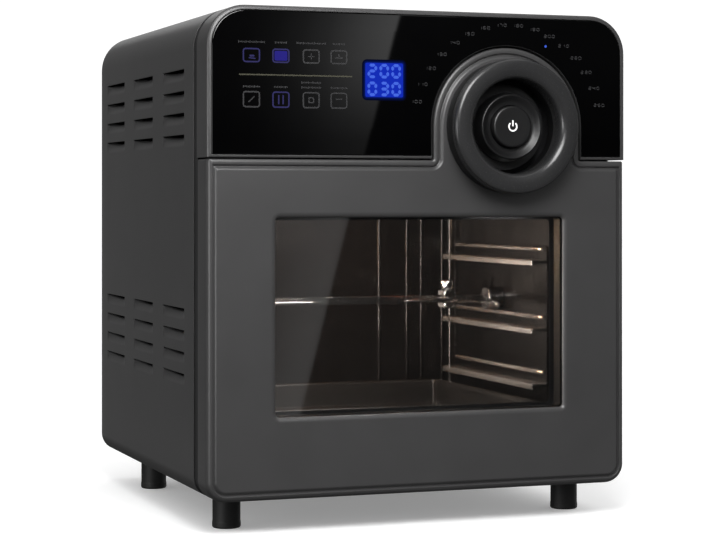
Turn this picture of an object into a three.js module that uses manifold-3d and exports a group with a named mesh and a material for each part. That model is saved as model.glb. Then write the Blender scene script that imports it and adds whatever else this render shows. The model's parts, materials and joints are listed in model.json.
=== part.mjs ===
// A countertop air fryer oven with a drop-down glass door, a ring handle and a rotisserie.
// Millimetres, +Z up, +Y to the back. The origin is on the ground, in the middle of the footprint.
import * as THREE from "three";
import { mergeVertices } from "three/addons/utils/BufferGeometryUtils.js";
import Module from "manifold-3d";

// Body
const BODY_WIDTH = 320;
const BODY_DEPTH = 326;
const BODY_HEIGHT = 344;
const TOP_RADIUS = 28;
const BOTTOM_RADIUS = 14;
const FOOT_HEIGHT = 24;
const HANDLE_REACH = 20;

// Walls and clearances shared by many pieces
const SHEET = 1.5;
const FIT_GAP = 0.25;
const BORE_GAP = 0.25;
const RUN_GAP = 0.5;
const OVERRUN = 10;

// Outer cover and its louvres
const COVER_LIP = 2;
const LOUVRE_LENGTH = 60;
const LOUVRE_HEIGHT = 3;
const LOUVRE_PITCH = 15.6;
const LOUVRE_ROWS = 4;
const LOUVRE_COLUMNS = 3;
const LOUVRE_FIRST_DEPTH = 89.5;
const LOUVRE_REAR_ROOM = 54.5;
const LOUVRE_COLUMN_PITCH = (BODY_DEPTH - LOUVRE_FIRST_DEPTH - LOUVRE_REAR_ROOM) / (LOUVRE_COLUMNS - 1);
const LOUVRE_LOW_HEIGHT = 83;
const LOUVRE_HIGH_DROP = 90;
const LOUVRE_HIGH_HEIGHT = BODY_HEIGHT - LOUVRE_HIGH_DROP;

// Rear cover
const REAR_INSET = 2.5;
const REAR_SLOT_LENGTH = 56;
const REAR_SLOT_HEIGHT = 4;
const REAR_SLOT_PITCH = 12;
const REAR_SLOT_ROWS = 6;
const REAR_SLOT_SIDE = 70;
const REAR_SLOT_DROP = 148;
const REAR_SLOT_LOW = BODY_HEIGHT - REAR_SLOT_DROP;
const REAR_SCREW_INSET = 24;
const REAR_SCREW_SIDE = BODY_WIDTH / 2 - REAR_SCREW_INSET;
const REAR_SCREW_LOW = 22;
const REAR_SCREW_DROP = 28;
const REAR_SCREW_HIGH = BODY_HEIGHT - REAR_SCREW_DROP;
const SCREW_HEAD_RADIUS = 4;
const SCREW_HEAD_HEIGHT = 2;
const SCREW_SHANK_RADIUS = 1.75;
const SCREW_SHANK_LENGTH = 8;

// Base pan and feet
const PAN_FLANGE = 8;
const FOOT_TOP_RADIUS = 9;
const FOOT_BASE_RADIUS = 9.5;
const FOOT_EDGE = 1.5;
const FOOT_SIDE_INSET = 27.5;
const FOOT_SIDE = BODY_WIDTH / 2 - FOOT_SIDE_INSET;
const FOOT_FRONT_DEPTH = 46.5;
const FOOT_REAR_INSET = 70;
const FOOT_REAR_DEPTH = BODY_DEPTH - FOOT_REAR_INSET;

// Control head, and the dial's axis in it
const HEAD_HEIGHT = 104.75;
const HEAD_BOTTOM = BODY_HEIGHT - HEAD_HEIGHT;
const DIAL_SIDE_INSET = 94.75;
const DIAL_SIDE = BODY_WIDTH / 2 - DIAL_SIDE_INSET;
const DIAL_RISE = 22.25;
const DIAL_HEIGHT = HEAD_BOTTOM + DIAL_RISE;
const HEAD_DEPTH = 25.75;
const HEAD_RIM = 3.5;
const HEAD_BOTTOM_RIM = 1.25;
const HEAD_LEDGE = 2;
const HEAD_BACK = 2;
const GLASS_THICKNESS = 3;
const GLASS_SETBACK = 0.25;
const ARCH_GAP = 1.25;
const ARCH_WALL = 2.5;
const CABLE_HOLE_WIDTH = 30;
const CABLE_HOLE_HEIGHT = 14;
const CABLE_HOLE_OFFSET = 125.25;
const CABLE_HOLE_CENTRE = DIAL_SIDE - CABLE_HOLE_OFFSET;

// Dial, its housing and the power button, round the dial's axis
const DIAL_RADIUS = 25;
const DIAL_SHOULDER_RADIUS = 17;
const DIAL_FRONT = -8;
const DIAL_EDGE_FRONT = -1;
const DIAL_HEAD_BACK = 4;
const DIAL_SLEEVE_RADIUS = 18;
const DIAL_BORE_RADIUS = 15.5;
const DIAL_SLEEVE_BACK = 18;
const BEZEL_RADIUS = 31;
const BEZEL_FRONT = 6;
const BEZEL_WALL = 2;
const BUTTON_FRONT = -10;
const BUTTON_SKIRT_BACK = 0;
const BUTTON_WALL = 2;
const BUTTON_STEM_RADIUS = 4;
const BUTTON_STEM_BACK = 16;
const ENCODER_RADIUS = 16.5;
const ENCODER_TOWER_RADIUS = 11;
const ENCODER_TOWER_FRONT = 1.5;

// Door
const DOOR_HEAD_GAP = 2;
const DOOR_TOP = HEAD_BOTTOM - DOOR_HEAD_GAP;
const DOOR_DEPTH = 23.5;
const DOOR_PLATE = 2.5;
const DOOR_WALL = 2;
const LOBE_HALF_WIDTH = 57.25;
const LOBE_ROOT_DROP = 37.25;
const LOBE_ROOT = DOOR_TOP - LOBE_ROOT_DROP;
const WINDOW_SIDE_FRAME = 50;
const WINDOW_WIDTH = BODY_WIDTH - 2 * WINDOW_SIDE_FRAME;
const WINDOW_BOTTOM = 57.5;
const WINDOW_TOP_FRAME = 40.75;
const WINDOW_HEIGHT = DOOR_TOP - WINDOW_TOP_FRAME - WINDOW_BOTTOM;
const WINDOW_RADIUS = 3;
const PANE_LAP = 4;
const PANE_THICKNESS = 3;
const SPACER_DEPTH = 10.75;
const LINER_INSET = 10;
const LINER_SIDE = BODY_WIDTH / 2 - LINER_INSET;
const LINER_BOTTOM = 22;
const LINER_DROP = 10.75;
const LINER_TOP = DOOR_TOP - LINER_DROP;
const LINER_LAP = 6;
const LINER_RADIUS = 8;
const DOOR_BOSS_RADIUS = 4.5;
const DOOR_BOSS_INSET = 8;

// Electronics
const BOARD_THICKNESS = 1.5;
const BOARD_SIDE_ROOM = 12;
const BOARD_ARCH_ROOM = 6.25;
const BOARD_RISE = 8.75;
const CONTROL_BOARD_LEFT = BOARD_SIDE_ROOM - BODY_WIDTH / 2;
const CONTROL_BOARD_RIGHT = DIAL_SIDE - LOBE_HALF_WIDTH - ARCH_GAP - ARCH_WALL - BOARD_ARCH_ROOM;
const CONTROL_BOARD_BOTTOM = HEAD_BOTTOM + BOARD_RISE;
const BOARD_TOP_ROOM = 14;
const CONTROL_BOARD_TOP = BODY_HEIGHT - BOARD_TOP_ROOM;
const CONTROL_BOARD_DEPTH = 12;
const BOSS_RADIUS = 3;
const BOSS_INSET = 6;
const DISPLAY_OFFSET = 95;
const DISPLAY_CENTRE = DIAL_SIDE - DISPLAY_OFFSET;
const DISPLAY_RISE = 54.25;
const DISPLAY_MIDDLE = HEAD_BOTTOM + DISPLAY_RISE;
const DISPLAY_WIDTH = 32;
const DISPLAY_HEIGHT = 28;
const POWER_BOARD_WIDTH = 130;
const POWER_BOARD_HEIGHT = 90;
const POWER_BOARD_DROP = 130;
const POWER_BOARD_BOTTOM = REAR_SLOT_LOW - POWER_BOARD_DROP;
const POWER_BOARD_CENTRE = -30;
const POWER_BOARD_STANDOFF = 20;
const TRANSFORMER_WIDTH = 34;
const TRANSFORMER_DEPTH = 20;
const RELAY_WIDTH = 18;
const RELAY_DEPTH = 15;

// Ring handle
const RING_RADIUS = 48.5;
const RING_BORE_RADIUS = 34;
const RING_EDGE = 4.5;
const RING_INNER_EDGE = 1.5;
const COLLAR_RADIUS = 36.5;
const COLLAR_BACK = 4;

// Door hinges
const HINGE_DEPTH = 12.5;
const HINGE_HEIGHT = 6.5;
const HINGE_INSET = 20;
const HINGE_SIDE = BODY_WIDTH / 2 - HINGE_INSET;
const HINGE_PIN_RADIUS = 2;
const HINGE_PIN_LENGTH = 16;
const HINGE_NOSE_RADIUS = 4.25;
const HINGE_BRACKET_WIDTH = 3;
const HINGE_FLANGE_WIDTH = 6;
const HINGE_FLANGE_HEIGHT = 14;
const CLEVIS_GAP = 9;
const CLEVIS_EAR = 2.5;
const CLEVIS_EAR_RADIUS = 3.75;
const CLEVIS_BASE_HEIGHT = 14;
const HINGE_NOTCH_WIDTH = 8.5;
const HINGE_NOTCH_FRONT = 6.5;

// Chamber
const CHAMBER_SIDE_ROOM = 34;
const CHAMBER_WIDTH = BODY_WIDTH - 2 * CHAMBER_SIDE_ROOM;
const CHAMBER_BOTTOM = 36;
const CHAMBER_TOP_ROOM = 25.25;
const CHAMBER_HEIGHT = HEAD_BOTTOM - CHAMBER_TOP_ROOM - CHAMBER_BOTTOM;
const CHAMBER_REAR_ROOM = 74;
const CHAMBER_FRONT = HEAD_DEPTH + SHEET + 3 * FIT_GAP;
const CHAMBER_DEPTH = BODY_DEPTH - CHAMBER_REAR_ROOM - CHAMBER_FRONT;
const CHAMBER_MIDDLE_DEPTH = CHAMBER_FRONT + CHAMBER_DEPTH / 2;
const SEAL_WALL = 6;
const SEAL_GAP = 2;
const SEAL_RADIUS = 10;

// Drip tray
const TRAY_SIDE_GAP = 16;
const TRAY_FRONT_GAP = 10;
const TRAY_HEIGHT = 22;
const TRAY_RIM = 5;

// Rotisserie
const SPIT_SETBACK = 10;
const SPIT_DEPTH = CHAMBER_MIDDLE_DEPTH + SPIT_SETBACK;
const SPIT_LIFT = 5;
const SPIT_HEIGHT = CHAMBER_BOTTOM + CHAMBER_HEIGHT / 2 + SPIT_LIFT;
const SPIT_SIDE = 6;
const SPIT_JOURNAL_RADIUS = 3;
const SPIT_JOURNAL_LENGTH = 13;
const SPIT_END_GAP = 2;
const SOCKET_HEAD_RADIUS = 9;
const SOCKET_HEAD_LENGTH = 13;
const SOCKET_SHAFT_RADIUS = 5;
const SOCKET_SHAFT_LENGTH = 24;
const SOCKET_BORE_LENGTH = 10;
const SPIT_MOTOR_WIDTH = 22;
const SPIT_MOTOR_SIZE = 50;
const REST_WIDTH = 9;
const REST_LENGTH = 12;
const REST_DROP = 10;
const REST_RISE = 5;
const FORK_WALL_ROOM = 46;
const FORK_SIDE = CHAMBER_WIDTH / 2 - FORK_WALL_ROOM;
const FORK_HUB = 14;
const FORK_HUB_WIDTH = 10;
const FORK_ARM = 4;
const FORK_SPREAD = 22;
const PRONG_RADIUS = 1.75;
const PRONG_LENGTH = 45;
const THUMBSCREW_RADIUS = 5;
const THUMBSCREW_HEIGHT = 8;
const THUMBSCREW_SHANK = 2;
const THUMBSCREW_BITE = 3;

// Rack rails
const RAIL_FRONT_ROOM = 32;
const RAIL_REAR_ROOM = 12;
const RAIL_FRONT = CHAMBER_FRONT + RAIL_FRONT_ROOM;
const RAIL_LENGTH = CHAMBER_DEPTH - RAIL_FRONT_ROOM - RAIL_REAR_ROOM;
const RAIL_PLATE = 1;
const RAIL_LEDGE = 12;
const LOW_LEDGE_RISE = 32;
const LEDGE_BELOW_SPIT = 20;
const LEDGE_ABOVE_SPIT = 32;
const RAIL_HEIGHTS = [
  CHAMBER_BOTTOM + LOW_LEDGE_RISE,
  SPIT_HEIGHT - LEDGE_BELOW_SPIT,
  SPIT_HEIGHT + LEDGE_ABOVE_SPIT,
];
const RAIL_LOW_EDGE = 8;
const RAIL_HIGH_EDGE = 12;
const RAIL_BOTTOM = CHAMBER_BOTTOM + LOW_LEDGE_RISE - RAIL_LOW_EDGE;
const RAIL_TOP = SPIT_HEIGHT + LEDGE_ABOVE_SPIT + RAIL_HIGH_EDGE;
const RAIL_WINDOW = 32;

// Heater, fans and their motor, round the fan's axis
const FAN_DEPTH = CHAMBER_MIDDLE_DEPTH;
const DOME_SIDE_ROOM = 32;
const DOME_END_ROOM = 18;
const DOME_RADIUS = Math.min(CHAMBER_WIDTH / 2 - DOME_SIDE_ROOM, CHAMBER_DEPTH / 2 - DOME_END_ROOM);
const DOME_HEIGHT = 32;
const DOME_FLANGE = 8;
const GUARD_LAP = 6;
const GUARD_RADIUS = DOME_RADIUS + GUARD_LAP;
const GUARD_SLOTS = 20;
const GUARD_SLOT_INNER = 26;
const GUARD_RIM = 12;
const GUARD_SLOT_OUTER = GUARD_RADIUS - GUARD_RIM;
const GUARD_SLOT_WIDTH = 7;
const ELEMENT_TUBE = 3.25;
const ELEMENT_ROOM = 10;
const ELEMENT_DRAW = 12;
const ELEMENT_OUTER = DOME_RADIUS - ELEMENT_ROOM;
const ELEMENT_INNER = ELEMENT_OUTER - ELEMENT_DRAW;
const ELEMENT_TURNS = 2;
const ELEMENT_RISE = 12;
const ELEMENT_LEG = 36;
const SHAFT_RADIUS = 3.75;
const SHAFT_BELOW = 3;
const SHAFT_LENGTH = 90;
const WHEEL_ROOM = 12;
const WHEEL_RADIUS = ELEMENT_INNER - WHEEL_ROOM;
const WHEEL_RISE = 6;
const WHEEL_HEIGHT = 12;
const WHEEL_BLADES = 8;
const COOLER_RADIUS = 42;
const COOLER_RISE = 79;
const COOLER_HEIGHT = 10;
const COOLER_BLADES = 10;
const HUB_RADIUS = 10;
const BLADE_THICKNESS = 1.5;
const BLADE_TILT = Math.PI / 7;
const STRAP_RISE = 42;
const STRAP_WIDTH = 34;
const STRAP_INSET = 14;
const STRAP_SIDE = CHAMBER_WIDTH / 2 - STRAP_INSET;
const STRAP_THICKNESS = 2;
const MOTOR_RADIUS = 30;
const MOTOR_HEIGHT = 30;
const MOTOR_BOSS_RADIUS = 12;
const MOTOR_BOSS_HEIGHT = 3;

// Oven lamp, on the rear wall
const LAMP_INSET = 41;
const LAMP_SIDE = LAMP_INSET - CHAMBER_WIDTH / 2;
const LAMP_DROP = 36;
const LAMP_HEIGHT = CHAMBER_BOTTOM + CHAMBER_HEIGHT - LAMP_DROP;
const LAMP_HOLE_RADIUS = 18;
const LAMP_LENS_RADIUS = 22;
const LAMP_LENS_THICKNESS = 2;
const LAMP_CUP_DEPTH = 34;
const LAMP_SOCKET_RADIUS = 8;
const LAMP_SOCKET_DEPTH = 8;
const BULB_RADIUS = 7;
const BULB_LENGTH = 18;

// Door switch
const SWITCH_INSET = 18;
const SWITCH_SIDE = SWITCH_INSET - BODY_WIDTH / 2;
const SWITCH_DROP = 27.25;
const SWITCH_HEIGHT = HEAD_BOTTOM - SWITCH_DROP;
const SWITCH_SIZE = 12;
const SWITCH_DEPTH = 14;
const PLUNGER_RADIUS = 2;
const PLUNGER_LENGTH = 14;

// Cord inlet
const INLET_INSET = 50;
const INLET_SIDE = BODY_WIDTH / 2 - INLET_INSET;
const INLET_HEIGHT = 42;
const INLET_FLANGE_RADIUS = 11;
const INLET_RADIUS = 8;
const INLET_BORE_RADIUS = 3.5;
const INLET_LENGTH = 10;

// Facets of round shapes
const TUBE_SIDES = 6;
const COARSE_SIDES = 12;
const ROUND_SIDES = 20;
const FINE_SIDES = 36;
const CORNER_STEPS = 4;

const PAINT = { color: 0x4b4a4c, roughness: 0.45, metalness: 0.55 };
const DARK_SHEET = { color: 0x2b2b2d, roughness: 0.6, metalness: 0.6 };
const STEEL = { color: 0xb9b6b0, roughness: 0.3, metalness: 1 };
const BLACK_PLASTIC = { color: 0x111113, roughness: 0.35, metalness: 0 };
const BLACK_GLASS = { color: 0x050507, roughness: 0.05, metalness: 0 };
const CLEAR_GLASS = { color: 0x8a8078, roughness: 0.05, metalness: 0, transparent: true, opacity: 0.3 };
const RUBBER = { color: 0x161616, roughness: 0.85, metalness: 0 };
const BOARD_GREEN = { color: 0x1d4a30, roughness: 0.6, metalness: 0 };
const MOTOR_STEEL = { color: 0x84858a, roughness: 0.5, metalness: 0.9 };
const DISPLAY_BLUE = { color: 0x1f3bff, roughness: 0.3, metalness: 0 };

const wasm = await Module();
wasm.setup();

// The closed solid inside a geometry's faces.
function solidFrom(geometry) {
  geometry.deleteAttribute("normal");
  geometry.deleteAttribute("uv");
  const merged = mergeVertices(geometry);
  return new wasm.Manifold(
    new wasm.Mesh({
      numProp: 3,
      vertProperties: merged.attributes.position.array,
      triVerts: new Uint32Array(merged.index.array),
    }),
  );
}

// The geometry of a solid, ready for a mesh.
function geometryFrom(solid) {
  const { vertProperties, triVerts } = solid.getMesh();
  const geometry = new THREE.BufferGeometry();
  geometry.setAttribute("position", new THREE.BufferAttribute(vertProperties, 3));
  geometry.setIndex(new THREE.BufferAttribute(triVerts, 1));
  geometry.computeVertexNormals();
  return geometry;
}

// Hangs a named piece in a group.
function addPiece(group, name, solid, finish) {
  const mesh = new THREE.Mesh(geometryFrom(solid), new THREE.MeshStandardMaterial(finish));
  mesh.name = name;
  group.add(mesh);
  return mesh;
}

function join(first, ...others) {
  return others.reduce((whole, other) => whole.add(other), first);
}

function cut(first, ...cutters) {
  return cutters.reduce((whole, cutter) => whole.subtract(cutter), first);
}

// A block between two values on each axis.
function block([x0, x1], [y0, y1], [z0, z1]) {
  const geometry = new THREE.BoxGeometry(Math.abs(x1 - x0), Math.abs(y1 - y0), Math.abs(z1 - z0));
  geometry.translate((x0 + x1) / 2, (y0 + y1) / 2, (z0 + z1) / 2);
  return solidFrom(geometry);
}

function around(centre, size) {
  return [centre - size / 2, centre + size / 2];
}

// An outline in X and Z with its own radii at the bottom and the top corners.
function roundedOutline([left, right], [bottom, top], bottomRadius, topRadius) {
  const shape = new THREE.Shape();
  const quarter = Math.PI / 2;
  shape.absarc(right - bottomRadius, bottom + bottomRadius, bottomRadius, -quarter, 0);
  shape.absarc(right - topRadius, top - topRadius, topRadius, 0, quarter);
  shape.absarc(left + topRadius, top - topRadius, topRadius, quarter, 2 * quarter);
  shape.absarc(left + bottomRadius, bottom + bottomRadius, bottomRadius, 2 * quarter, 3 * quarter);
  return shape;
}

// An outline in X and Z drawn out along Y.
function drawnOut(shape, [y0, y1]) {
  const geometry = new THREE.ExtrudeGeometry(shape, {
    depth: y1 - y0,
    bevelEnabled: false,
    curveSegments: CORNER_STEPS,
  });
  geometry.rotateX(Math.PI / 2);
  geometry.translate(0, y1, 0);
  return solidFrom(geometry);
}

// A round bar along one axis; its centre is given on the two other axes.
function barAlongX([x0, x1], y, z, radius, sides = ROUND_SIDES) {
  const geometry = new THREE.CylinderGeometry(radius, radius, x1 - x0, sides);
  geometry.rotateZ(-Math.PI / 2);
  geometry.translate((x0 + x1) / 2, y, z);
  return solidFrom(geometry);
}

function barAlongY(x, [y0, y1], z, radius, sides = ROUND_SIDES) {
  const geometry = new THREE.CylinderGeometry(radius, radius, y1 - y0, sides);
  geometry.translate(x, (y0 + y1) / 2, z);
  return solidFrom(geometry);
}

function barAlongZ(x, y, [z0, z1], radius, sides = ROUND_SIDES) {
  const geometry = new THREE.CylinderGeometry(radius, radius, z1 - z0, sides);
  geometry.rotateX(Math.PI / 2);
  geometry.translate(x, y, (z0 + z1) / 2);
  return solidFrom(geometry);
}

// A turned piece: its profile holds [radius, place along the axis], anticlockwise, and closes on itself.
function turnedAboutY(profile, sides = ROUND_SIDES) {
  const points = [...profile, profile[0]].map(([radius, along]) => new THREE.Vector2(radius, along));
  return solidFrom(new THREE.LatheGeometry(points, sides));
}

function turnedAboutZ(profile, sides = ROUND_SIDES) {
  const points = [...profile, profile[0]].map(([radius, along]) => new THREE.Vector2(radius, along));
  const geometry = new THREE.LatheGeometry(points, sides);
  geometry.rotateX(Math.PI / 2);
  return solidFrom(geometry);
}

const halfWidth = BODY_WIDTH / 2;
const sides = { left: -1, right: 1 };

// The body's outline, drawn in by an inset.
function bodyOutline(inset) {
  return roundedOutline(
    [inset - halfWidth, halfWidth - inset],
    [inset, BODY_HEIGHT - inset],
    BOTTOM_RADIUS - inset,
    TOP_RADIUS - inset,
  );
}

// An arch round the dial's axis with straight sides below it.
function arch(half, [y0, y1], root) {
  const legs = block(around(DIAL_SIDE, 2 * half), [y0, y1], [root, DIAL_HEIGHT]);
  return legs.add(barAlongY(DIAL_SIDE, [y0, y1], DIAL_HEIGHT, half, FINE_SIDES));
}

// Places along Y of the layers from the front to the back.
const coverFront = HEAD_DEPTH + FIT_GAP;
const frameFront = coverFront + FIT_GAP;
const frameBack = frameFront + SHEET;
const rearBack = BODY_DEPTH - REAR_INSET;
const rearFront = rearBack - SHEET;

function makeOuterCover() {
  const span = [coverFront, BODY_DEPTH];
  const through = [coverFront - OVERRUN, BODY_DEPTH + OVERRUN];
  const lip = halfWidth - BOTTOM_RADIUS - COVER_LIP;
  let cover = cut(
    drawnOut(bodyOutline(0), span),
    drawnOut(bodyOutline(SHEET), through),
    block([-lip, lip], through, [-OVERRUN, SHEET + OVERRUN]),
  );
  const wallBand = SHEET + OVERRUN;
  for (const side of Object.values(sides)) {
    const wall = around(side * halfWidth, wallBand);
    for (const low of [LOUVRE_LOW_HEIGHT, LOUVRE_HIGH_HEIGHT]) {
      for (let row = 0; row < LOUVRE_ROWS; row++) {
        for (let column = 0; column < LOUVRE_COLUMNS; column++) {
          const centre = LOUVRE_FIRST_DEPTH + column * LOUVRE_COLUMN_PITCH;
          const height = low + row * LOUVRE_PITCH;
          const slot = block(wall, around(centre, LOUVRE_LENGTH), around(height, LOUVRE_HEIGHT));
          cover = cover.subtract(slot);
        }
      }
    }
  }
  return cover;
}

const rearScrewPlaces = [REAR_SCREW_LOW, REAR_SCREW_HIGH].flatMap((height) =>
  Object.values(sides).map((side) => [side * REAR_SCREW_SIDE, height]),
);

const powerBoardX = around(POWER_BOARD_CENTRE, POWER_BOARD_WIDTH);
const powerBoardZ = [POWER_BOARD_BOTTOM, POWER_BOARD_BOTTOM + POWER_BOARD_HEIGHT];
const powerBoardBack = rearFront - POWER_BOARD_STANDOFF;

// The four places of the bosses that carry a board.
function bossPlaces([left, right], [bottom, top]) {
  return [left + BOSS_INSET, right - BOSS_INSET].flatMap((x) =>
    [bottom + BOSS_INSET, top - BOSS_INSET].map((z) => [x, z]),
  );
}

function makeRearCover() {
  let cover = drawnOut(bodyOutline(SHEET + FIT_GAP), [rearFront, rearBack]);
  const bosses = bossPlaces(powerBoardX, powerBoardZ);
  for (const [x, z] of bosses) {
    cover = cover.add(barAlongY(x, [powerBoardBack + FIT_GAP, rearBack], z, BOSS_RADIUS, COARSE_SIDES));
  }
  const through = [rearFront - OVERRUN, rearBack + OVERRUN];
  for (const side of Object.values(sides)) {
    for (let row = 0; row < REAR_SLOT_ROWS; row++) {
      const height = REAR_SLOT_LOW + row * REAR_SLOT_PITCH;
      cover = cover.subtract(
        block(
          around(side * REAR_SLOT_SIDE, REAR_SLOT_LENGTH),
          through,
          around(height, REAR_SLOT_HEIGHT),
        ),
      );
    }
  }
  for (const [x, z] of rearScrewPlaces) {
    cover = cover.subtract(barAlongY(x, through, z, SCREW_SHANK_RADIUS + BORE_GAP, COARSE_SIDES));
  }
  return cover.subtract(barAlongY(INLET_SIDE, through, INLET_HEIGHT, INLET_RADIUS + BORE_GAP));
}

// A pan-head screw whose head stands behind the place of its origin.
function makeScrew() {
  return turnedAboutY(
    [
      [0, -SCREW_SHANK_LENGTH],
      [SCREW_SHANK_RADIUS, -SCREW_SHANK_LENGTH],
      [SCREW_SHANK_RADIUS, 0],
      [SCREW_HEAD_RADIUS, 0],
      [SCREW_HEAD_RADIUS, SCREW_HEAD_HEIGHT / 2],
      [SCREW_HEAD_RADIUS / 2, SCREW_HEAD_HEIGHT],
      [0, SCREW_HEAD_HEIGHT],
    ],
    COARSE_SIDES,
  );
}

const panSide = halfWidth - BOTTOM_RADIUS;
const panBottom = SHEET + FIT_GAP;

function makeBasePan() {
  const span = [frameBack + FIT_GAP, rearFront - FIT_GAP];
  const whole = block([-panSide, panSide], span, [panBottom, panBottom + PAN_FLANGE]);
  const hollow = block(
    [SHEET - panSide, panSide - SHEET],
    [span[0] - OVERRUN, span[1] + OVERRUN],
    [panBottom + SHEET, panBottom + PAN_FLANGE + OVERRUN],
  );
  return whole.subtract(hollow);
}

// A foot with a softened lower edge; its origin is at its top.
function makeFoot() {
  const bottom = -FOOT_HEIGHT - panBottom + FIT_GAP;
  return turnedAboutZ([
    [0, bottom],
    [FOOT_BASE_RADIUS - FOOT_EDGE, bottom],
    [FOOT_BASE_RADIUS, bottom + FOOT_EDGE],
    [FOOT_TOP_RADIUS, 0],
    [0, 0],
  ]);
}

const switchHoleRadius = PLUNGER_RADIUS + RUN_GAP;

function makeFrontFrame() {
  const through = [frameFront - OVERRUN, frameBack + OVERRUN];
  const plate = drawnOut(bodyOutline(SHEET + FIT_GAP), [frameFront, frameBack]);
  const mouth = block(around(0, CHAMBER_WIDTH), through, [CHAMBER_BOTTOM, CHAMBER_BOTTOM + CHAMBER_HEIGHT]);
  const cable = block(
    around(CABLE_HOLE_CENTRE, CABLE_HOLE_WIDTH),
    through,
    around(DISPLAY_MIDDLE, CABLE_HOLE_HEIGHT),
  );
  return cut(plate, mouth, cable, barAlongY(SWITCH_SIDE, through, SWITCH_HEIGHT, switchHoleRadius, COARSE_SIDES));
}

// The part of the body's outline above the head's lower edge.
function headSlice(rim, bottomRim, span) {
  const above = block(
    [-halfWidth - OVERRUN, halfWidth + OVERRUN],
    [span[0] - OVERRUN, span[1] + OVERRUN],
    [HEAD_BOTTOM + bottomRim, BODY_HEIGHT + OVERRUN],
  );
  return drawnOut(bodyOutline(rim), span).intersect(above);
}

const glassBack = GLASS_SETBACK + GLASS_THICKNESS;
const ledgeFront = glassBack + FIT_GAP;
const headBackFront = HEAD_DEPTH - HEAD_BACK;
const archHalf = LOBE_HALF_WIDTH + ARCH_GAP;
const archRoot = HEAD_BOTTOM - OVERRUN;

const controlBoardX = [CONTROL_BOARD_LEFT, CONTROL_BOARD_RIGHT];
const controlBoardZ = [CONTROL_BOARD_BOTTOM, CONTROL_BOARD_TOP];
const controlBoardBack = CONTROL_BOARD_DEPTH + BOARD_THICKNESS;

function makeControlHousing() {
  const ledgeRim = HEAD_RIM + HEAD_LEDGE;
  const ledgeBottomRim = HEAD_BOTTOM_RIM + HEAD_LEDGE;
  const whole = headSlice(0, 0, [0, HEAD_DEPTH]);
  const tray = cut(
    whole,
    headSlice(HEAD_RIM, HEAD_BOTTOM_RIM, [-OVERRUN, ledgeFront]),
    headSlice(ledgeRim, ledgeBottomRim, [0, headBackFront]),
  );
  const archWall = arch(archHalf + ARCH_WALL, [ledgeFront, HEAD_DEPTH], HEAD_BOTTOM).intersect(whole);
  let housing = tray.add(archWall).subtract(arch(archHalf, [-OVERRUN, headBackFront], archRoot));
  for (const [x, z] of bossPlaces(controlBoardX, controlBoardZ)) {
    const boss = barAlongY(x, [controlBoardBack + FIT_GAP, HEAD_DEPTH], z, BOSS_RADIUS, COARSE_SIDES);
    housing = housing.add(boss);
  }
  const cable = block(
    around(CABLE_HOLE_CENTRE, CABLE_HOLE_WIDTH),
    [headBackFront - OVERRUN, HEAD_DEPTH + OVERRUN],
    around(DISPLAY_MIDDLE, CABLE_HOLE_HEIGHT),
  );
  return housing.subtract(cable);
}

function makeControlGlass() {
  const pane = headSlice(HEAD_RIM + FIT_GAP, HEAD_BOTTOM_RIM + FIT_GAP, [GLASS_SETBACK, glassBack]);
  return pane.subtract(arch(archHalf, [-OVERRUN, glassBack + OVERRUN], archRoot));
}

function makeDisplayModule() {
  return block(
    around(DISPLAY_CENTRE, DISPLAY_WIDTH),
    [ledgeFront, CONTROL_BOARD_DEPTH - FIT_GAP],
    around(DISPLAY_MIDDLE, DISPLAY_HEIGHT),
  );
}

function makeControlBoard() {
  return block(controlBoardX, [CONTROL_BOARD_DEPTH, controlBoardBack], controlBoardZ);
}

function makePowerBoard() {
  const front = powerBoardBack - BOARD_THICKNESS;
  const [left, right] = powerBoardX;
  const middle = (powerBoardZ[0] + powerBoardZ[1]) / 2;
  const board = block(powerBoardX, [front, powerBoardBack], powerBoardZ);
  const transformer = block(
    around(left + TRANSFORMER_WIDTH, TRANSFORMER_WIDTH),
    [front - TRANSFORMER_DEPTH, powerBoardBack],
    around(middle, TRANSFORMER_WIDTH),
  );
  const relays = [-1, 1].map((step) =>
    block(
      around(right - 2 * RELAY_WIDTH, RELAY_WIDTH),
      [front - RELAY_DEPTH, powerBoardBack],
      around(middle + step * RELAY_WIDTH, RELAY_WIDTH),
    ),
  );
  return join(board, transformer, ...relays);
}

// The fixed cup behind the dial: its inner tube is the bearing of the dial's sleeve.
function makeDialHousing() {
  const bore = DIAL_SLEEVE_RADIUS + RUN_GAP;
  const tube = bore + BEZEL_WALL;
  const back = headBackFront - FIT_GAP;
  const floorBack = BEZEL_FRONT + BEZEL_WALL;
  return turnedAboutY(
    [
      [bore, DIAL_HEAD_BACK + RUN_GAP],
      [tube, DIAL_HEAD_BACK + RUN_GAP],
      [tube, BEZEL_FRONT],
      [BEZEL_RADIUS, BEZEL_FRONT],
      [BEZEL_RADIUS, back],
      [BEZEL_RADIUS - BEZEL_WALL, back],
      [BEZEL_RADIUS - BEZEL_WALL, floorBack],
      [tube, floorBack],
      [tube, back],
      [bore, back],
    ],
    FINE_SIDES,
  );
}

function makeEncoder() {
  const bore = BUTTON_STEM_RADIUS + RUN_GAP;
  const back = headBackFront - FIT_GAP;
  const step = DIAL_SLEEVE_BACK + RUN_GAP;
  return turnedAboutY(
    [
      [bore, ENCODER_TOWER_FRONT],
      [ENCODER_TOWER_RADIUS, ENCODER_TOWER_FRONT],
      [ENCODER_TOWER_RADIUS, step],
      [ENCODER_RADIUS, step],
      [ENCODER_RADIUS, back],
      [bore, back],
    ],
  );
}

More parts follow.
